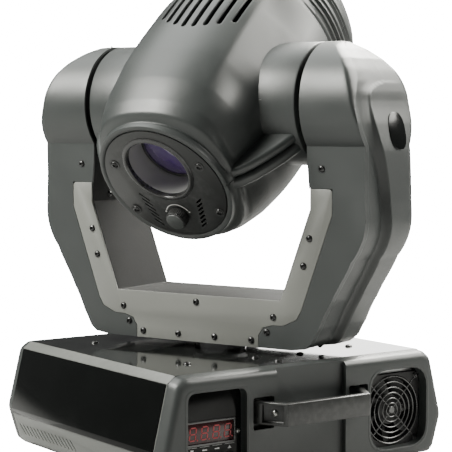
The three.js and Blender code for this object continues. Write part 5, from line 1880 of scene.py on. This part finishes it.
    def front_plate(self) -> None:
        """The dark plate round the lens with its screws, vents and printed arc."""
        face = -self.front - 0.0005
        disc = [polar(self.plate_radius, math.tau * k / 128) for k in range(128)]
        plate = soften(slab("front_plate", disc, (face, face + 0.002), "y"), 0.0005, 2, 40)
        bore = rod("plate_bore", self.bezel_radius - 0.0026, (0, face - 0.01, self.lens_rise),
            (0, face + 0.01, self.lens_rise), 96)
        tools = [bore, rod("knob_bore", 0.0035, (0, face - 0.01, -self.knob_drop),
                (0, face + 0.01, -self.knob_drop), 24)]
        for i in range(6):
            x, z = -0.0357 + i * 0.0009, -0.0190 - i * 0.0072
            tools.append(self.slit(f"thin_{i}", x, z, 0.0145, 0.0021, math.radians(-45), face))
        for i in range(7):
            x, z = 0.0345 - i * 0.0012, -0.0220 - i * 0.0057
            tools.append(self.slit(f"notch_{i}", x, z, 0.0100, 0.0024, math.radians(36), face))
        carve(plate, *tools)
        self.fit(plate, FACE_PLATE, "black_plate", "head_front_plate")
        spots = [(0.0548, 0.0268), (-0.0548, 0.0268), (0.0548, -0.0369), (-0.0548, -0.0369)]
        self.fit(screw_set("front_plate_screws", [((x, face, z), (0, -1, 0)) for x, z in spots],
                radius=0.0042), BLACK_SCREW, "wire")
        dishes = [turned(f"dish_{i}", [(0.0043, 0), (0.0062, 0), (0.0058, 0.0007), (0.0046, 0.0007)], "y",
                (x, face - 0.0007, z), 32) for i, (x, z) in enumerate(spots)]
        for dish in dishes:
            edit(dish, face_outwards)
        self.fit(unite("screw_dishes", *dishes), FACE_PLATE, "black_plate")
        self.scale_marks(face)

    def slit(self, name: str, x: float, z: float, long: float, wide: float, lean: float,
        face: float) -> Piece:
        """A cutter for one slanted vent in the front plate."""
        line = rounded(rectangle((-long / 2, long / 2), (-wide / 2, wide / 2)), wide / 2, 3)
        tool = slab(name, line, (face - 0.01, face + 0.01), "y")
        tool.data.transform(Matrix.Translation((x, 0, z)) @ Matrix.Rotation(-lean, 4, "Y"))
        return tool

    def scale_marks(self, face: float) -> None:
        """The printed arc over the knob, with a dot at each end."""
        parts = []
        radius = 0.0162
        span = (face - 0.00015, face)
        turns = [math.radians(28 + 124 * k / 24) for k in range(25)]
        line = [polar(radius, t) for t in turns] + [polar(radius - 0.0009, t) for t in reversed(turns)]
        line = [(x, z - self.knob_drop) for x, z in line]
        parts.append(slab("scale_arc", line, span, "y"))
        for angle in (20, 160):
            t = math.radians(angle)
            x, z = radius * math.cos(t), radius * math.sin(t) - self.knob_drop
            parts.append(rod(f"scale_dot_{angle}", 0.0010, (x, span[0], z), (x, span[1], z), 16))
        self.fit(unite("knob_scale", *parts), PRINT, "button_plastic")

    def lens(self) -> None:
        """The ring, the tube and the coated glass."""
        face = -self.front - 0.0005
        bore, ring = self.lens_radius + 0.0003, self.bezel_radius
        profile = [(bore, face - 0.0010), (bore + 0.0008, face - 0.0021), (bore + 0.0022, face - 0.0024),
            (ring - 0.0018, face - 0.0020), (ring, face - 0.0006), (ring, face - 0.0003),
            (ring - 0.003, face - 0.0003),
            (ring - 0.003, face + 0.004), (bore, face + 0.004), (bore, face - 0.0010)]
        ring_piece = turned("lens_ring", profile, "y", (0, 0, self.lens_rise), 128)
        self.fit(ring_piece, BEZEL, "lens_tube")
        deep = face + 0.070
        tube = [(bore, face + 0.0042), (ring - 0.003, face + 0.0042), (ring - 0.003, deep), (bore, deep),
            (bore, deep - 0.002), (bore, face + 0.0042)]
        self.fit(turned("lens_tube_sleeve", tube, "y", (0, 0, self.lens_rise), 128), TUBE, "lens_tube",
            "lens_barrel")
        glass = face + self.lens_back
        dome = [(0.0, glass - 0.0070)]
        dome += [(self.lens_radius * k / 16, glass - 0.0070 + 0.0070 * (k / 16) ** 2) for k in range(1, 17)]
        dome += [(self.lens_radius, glass + 0.005), (0.0, glass + 0.005)]
        self.fit(turned("front_lens_glass", dome, "y", (0, 0, self.lens_rise), 96), LENS, "lens_glass",
            "front_lens")
        edge = [(self.lens_radius - 0.0025, glass - 0.0016), (self.lens_radius, glass - 0.0024),
            (self.lens_radius, glass - 0.0010),
            (self.lens_radius - 0.0025, glass - 0.0005), (self.lens_radius - 0.0025, glass - 0.0016)]
        self.fit(turned("lens_retainer", edge, "y", (0, 0, self.lens_rise), 96), BLACK_PLASTIC, "lens_tube")

    def knob(self) -> None:
        """The focus knob: a plain grey face on a knurled black skirt."""
        face = -self.front - 0.0012
        radius = self.knob_radius
        skirt = [(0.0, face), (radius, face), (radius, face - 0.0085), (radius - 0.0006, face - 0.0096),
            (radius - 0.0016, face - 0.0101), (0.0, face - 0.0101)]
        made = turned("knob_skirt", skirt, "y", (0, 0, -self.knob_drop), 144)
        for vertex in made.data.vertices:
            flat = Vector((vertex.co.x, vertex.co.z + self.knob_drop))
            if flat.length > radius - 0.0002 and vertex.co.y > face - 0.009:
                turn = math.atan2(flat.y, flat.x) / math.tau * 36
                flat *= 1 - 0.045 * (0.5 - 0.5 * math.cos(math.tau * turn))
                vertex.co.x, vertex.co.z = flat.x, flat.y - self.knob_drop
        self.fit(made, BLACK_PLASTIC, "black_plastic", "focus_knob", body="focus_knob", smooth=20)
        cap = [(0.0, face - 0.0112), (radius - 0.0028, face - 0.0112), (radius - 0.0020, face - 0.0108),
            (radius - 0.0016, face - 0.0099), (0.0, face - 0.0099)]
        self.fit(turned("knob_face", cap, "y", (0, 0, -self.knob_drop), 64), KNOB_GREY, "black_plastic",
            body="focus_knob")

    def works(self) -> None:
        """The fan wheel behind the grille, and finishes for what stays of the works."""
        low_y, high_y = 0.159, 0.173
        wheel = fan_blades("head_fan_wheel", 0.017, 0.0362, high_y - low_y, 7)
        wheel.data.transform(Matrix.Translation((0, (low_y + high_y) / 2, 0)))
        self.fit(wheel, BLACK_PLASTIC, "black_plastic", "head_fan_rotor", body="head_fan_rotor")
        baffle = [(0.0, 0.1540), (0.030, 0.1540), (0.046, 0.1512), (0.0472, 0.1520), (0.031, 0.1552),
            (0.0, 0.1552)]
        self.fit(turned("lamp_light_baffle", baffle, "y"), INSIDE, "black_plastic")
        self.keep(ZINC, "head_chassis", "focus_carriage")
        self.keep(WHEEL, "colour_wheel", "gobo_wheel")
        self.keep(MACHINED, "tilt_axle_right", "tilt_axle_left")
        self.keep(MIRROR, "reflector")
        self.keep(BULB, "lamp")
        self.keep(CERAMIC, "lamp_holder")

    def build(self) -> None:
        """Builds the whole head."""
        self.covers()
        self.rear_cap()
        self.front_plate()
        self.lens()
        self.knob()
        self.works()


# --------------------------------------------------------------------- studio


@dataclass(frozen=True)
class Softbox:
    """A soft rectangular lamp aimed at the object."""

    name: str
    place: Point
    size: Pair
    power: float
    colour: Colour = (1.0, 1.0, 1.0)
    aim: Point = (0.0, 0.0, 0.3)

    def build(self) -> Piece:
        """Adds the lamp to the scene."""
        data = bpy.data.lights.new(self.name, "AREA")
        data.shape = "RECTANGLE"
        data.size, data.size_y = self.size
        data.energy = self.power
        data.color = self.colour
        lamp = bpy.data.objects.new(self.name, data)
        lamp.location = self.place
        lamp.visible_camera = False
        lamp.rotation_euler = (Vector(self.aim) - Vector(self.place)).to_track_quat("-Z", "Y").to_euler()
        bpy.context.scene.collection.objects.link(lamp)
        return lamp


class Studio:
    """The camera, the pale floor and the soft light."""

    lens: float = 127.15
    sensor: float = 36.0
    eye: Point = (-1.0388, -1.4761, 0.3797)
    turn: Point = (85.97, 0.0, -35.33)
    floor_half: float = 12.0
    around: float = 0.06
    backdrop: float = 24.0
    floor_glow: float = 22.0
    floor_tone: float = 0.30

    def camera(self) -> None:
        """Sets the camera."""
        data = bpy.data.cameras.new("view")
        data.lens, data.sensor_width = self.lens, self.sensor
        data.clip_end = 100
        made = bpy.data.objects.new("view", data)
        made.location = self.eye
        made.rotation_euler = [math.radians(a) for a in self.turn]
        bpy.context.scene.collection.objects.link(made)
        bpy.context.scene.camera = made

    def floor(self) -> None:
        """Lays a plain pale floor under the feet."""
        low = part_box("rubber_foot_1")[0].z
        bpy.ops.object.select_all(action="DESELECT")
        bpy.ops.mesh.primitive_plane_add(size=2 * self.floor_half, location=(0, 0, low))
        sheet = settle(named("studio_floor"))
        material = bpy.data.materials.new("pale_floor")
        material.use_nodes = True
        wire = Wiring(material.node_tree)
        shader = material.node_tree.nodes["Principled BSDF"]
        place = wire.add("TexCoord").outputs["Object"]
        tone = wire.mix(wire.noise(place, 1.5), (self.floor_tone, self.floor_tone, self.floor_tone, 1),
            (self.floor_tone * 1.06, self.floor_tone * 1.06, self.floor_tone * 1.05, 1))
        material.node_tree.links.new(tone, shader.inputs["Base Color"])
        shader.inputs["Roughness"].default_value = 0.7
        seen = wire.add("LightPath").outputs["Is Camera Ray"]
        glow = wire.add("Emission", {"Strength": wire.maths("MULTIPLY", seen, self.floor_glow)})
        both = wire.add("AddShader", {0: shader.outputs[0], 1: glow.outputs[0]})
        material.node_tree.links.new(both.outputs[0],
            material.node_tree.nodes["Material Output"].inputs["Surface"])
        sheet.data.materials.append(material)

    def lights(self) -> None:
        """Sets the softboxes and the surrounding light."""
        for box in (
            Softbox("key_right", (1.30, -0.60, 1.35), (1.3, 1.3), 66, (1.0, 0.99, 0.93)),
            Softbox("rim_right", (1.15, 0.55, 1.45), (0.7, 0.9), 90, (1.0, 0.99, 0.92)),
            Softbox("fill_left", (-1.45, 0.45, 1.50), (0.9, 0.9), 84, (1.0, 1.0, 0.94)),
            Softbox("overhead", (0.05, 0.75, 1.8), (1.6, 1.0), 22, (0.97, 1.0, 0.97)),
            Softbox("behind", (1.50, 1.30, 0.46), (0.8, 0.5), 6, (1.0, 1.0, 0.97)),
        ):
            box.build()
        world = bpy.data.worlds.new("studio")
        world.use_nodes = True
        tree = world.node_tree
        wire = Wiring(tree)
        around = tree.nodes["Background"]
        around.inputs["Color"].default_value = (1.0, 1.0, 1.0, 1.0)
        around.inputs["Strength"].default_value = self.around
        behind = wire.add("Background", {"Color": (1.0, 1.0, 1.0, 1.0), "Strength": self.backdrop})
        seen = wire.add("LightPath").outputs["Is Camera Ray"]
        both = wire.add("MixShader", {0: seen, 1: around.outputs[0], 2: behind.outputs[0]})
        tree.links.new(both.outputs[0], tree.nodes["World Output"].inputs["Surface"])
        bpy.context.scene.world = world

    def build(self) -> None:
        """Sets up the whole studio."""
        self.camera()
        self.floor()
        self.lights()


def main() -> None:
    """Builds the studio and the three sub-assemblies."""
    logging.basicConfig(level=logging.INFO, format="%(message)s")
    Studio().build()
    for assembly in (Base("base"), Yoke("yoke"), Head("head")):
        assembly.build()


if __name__ == "__main__":
    main()
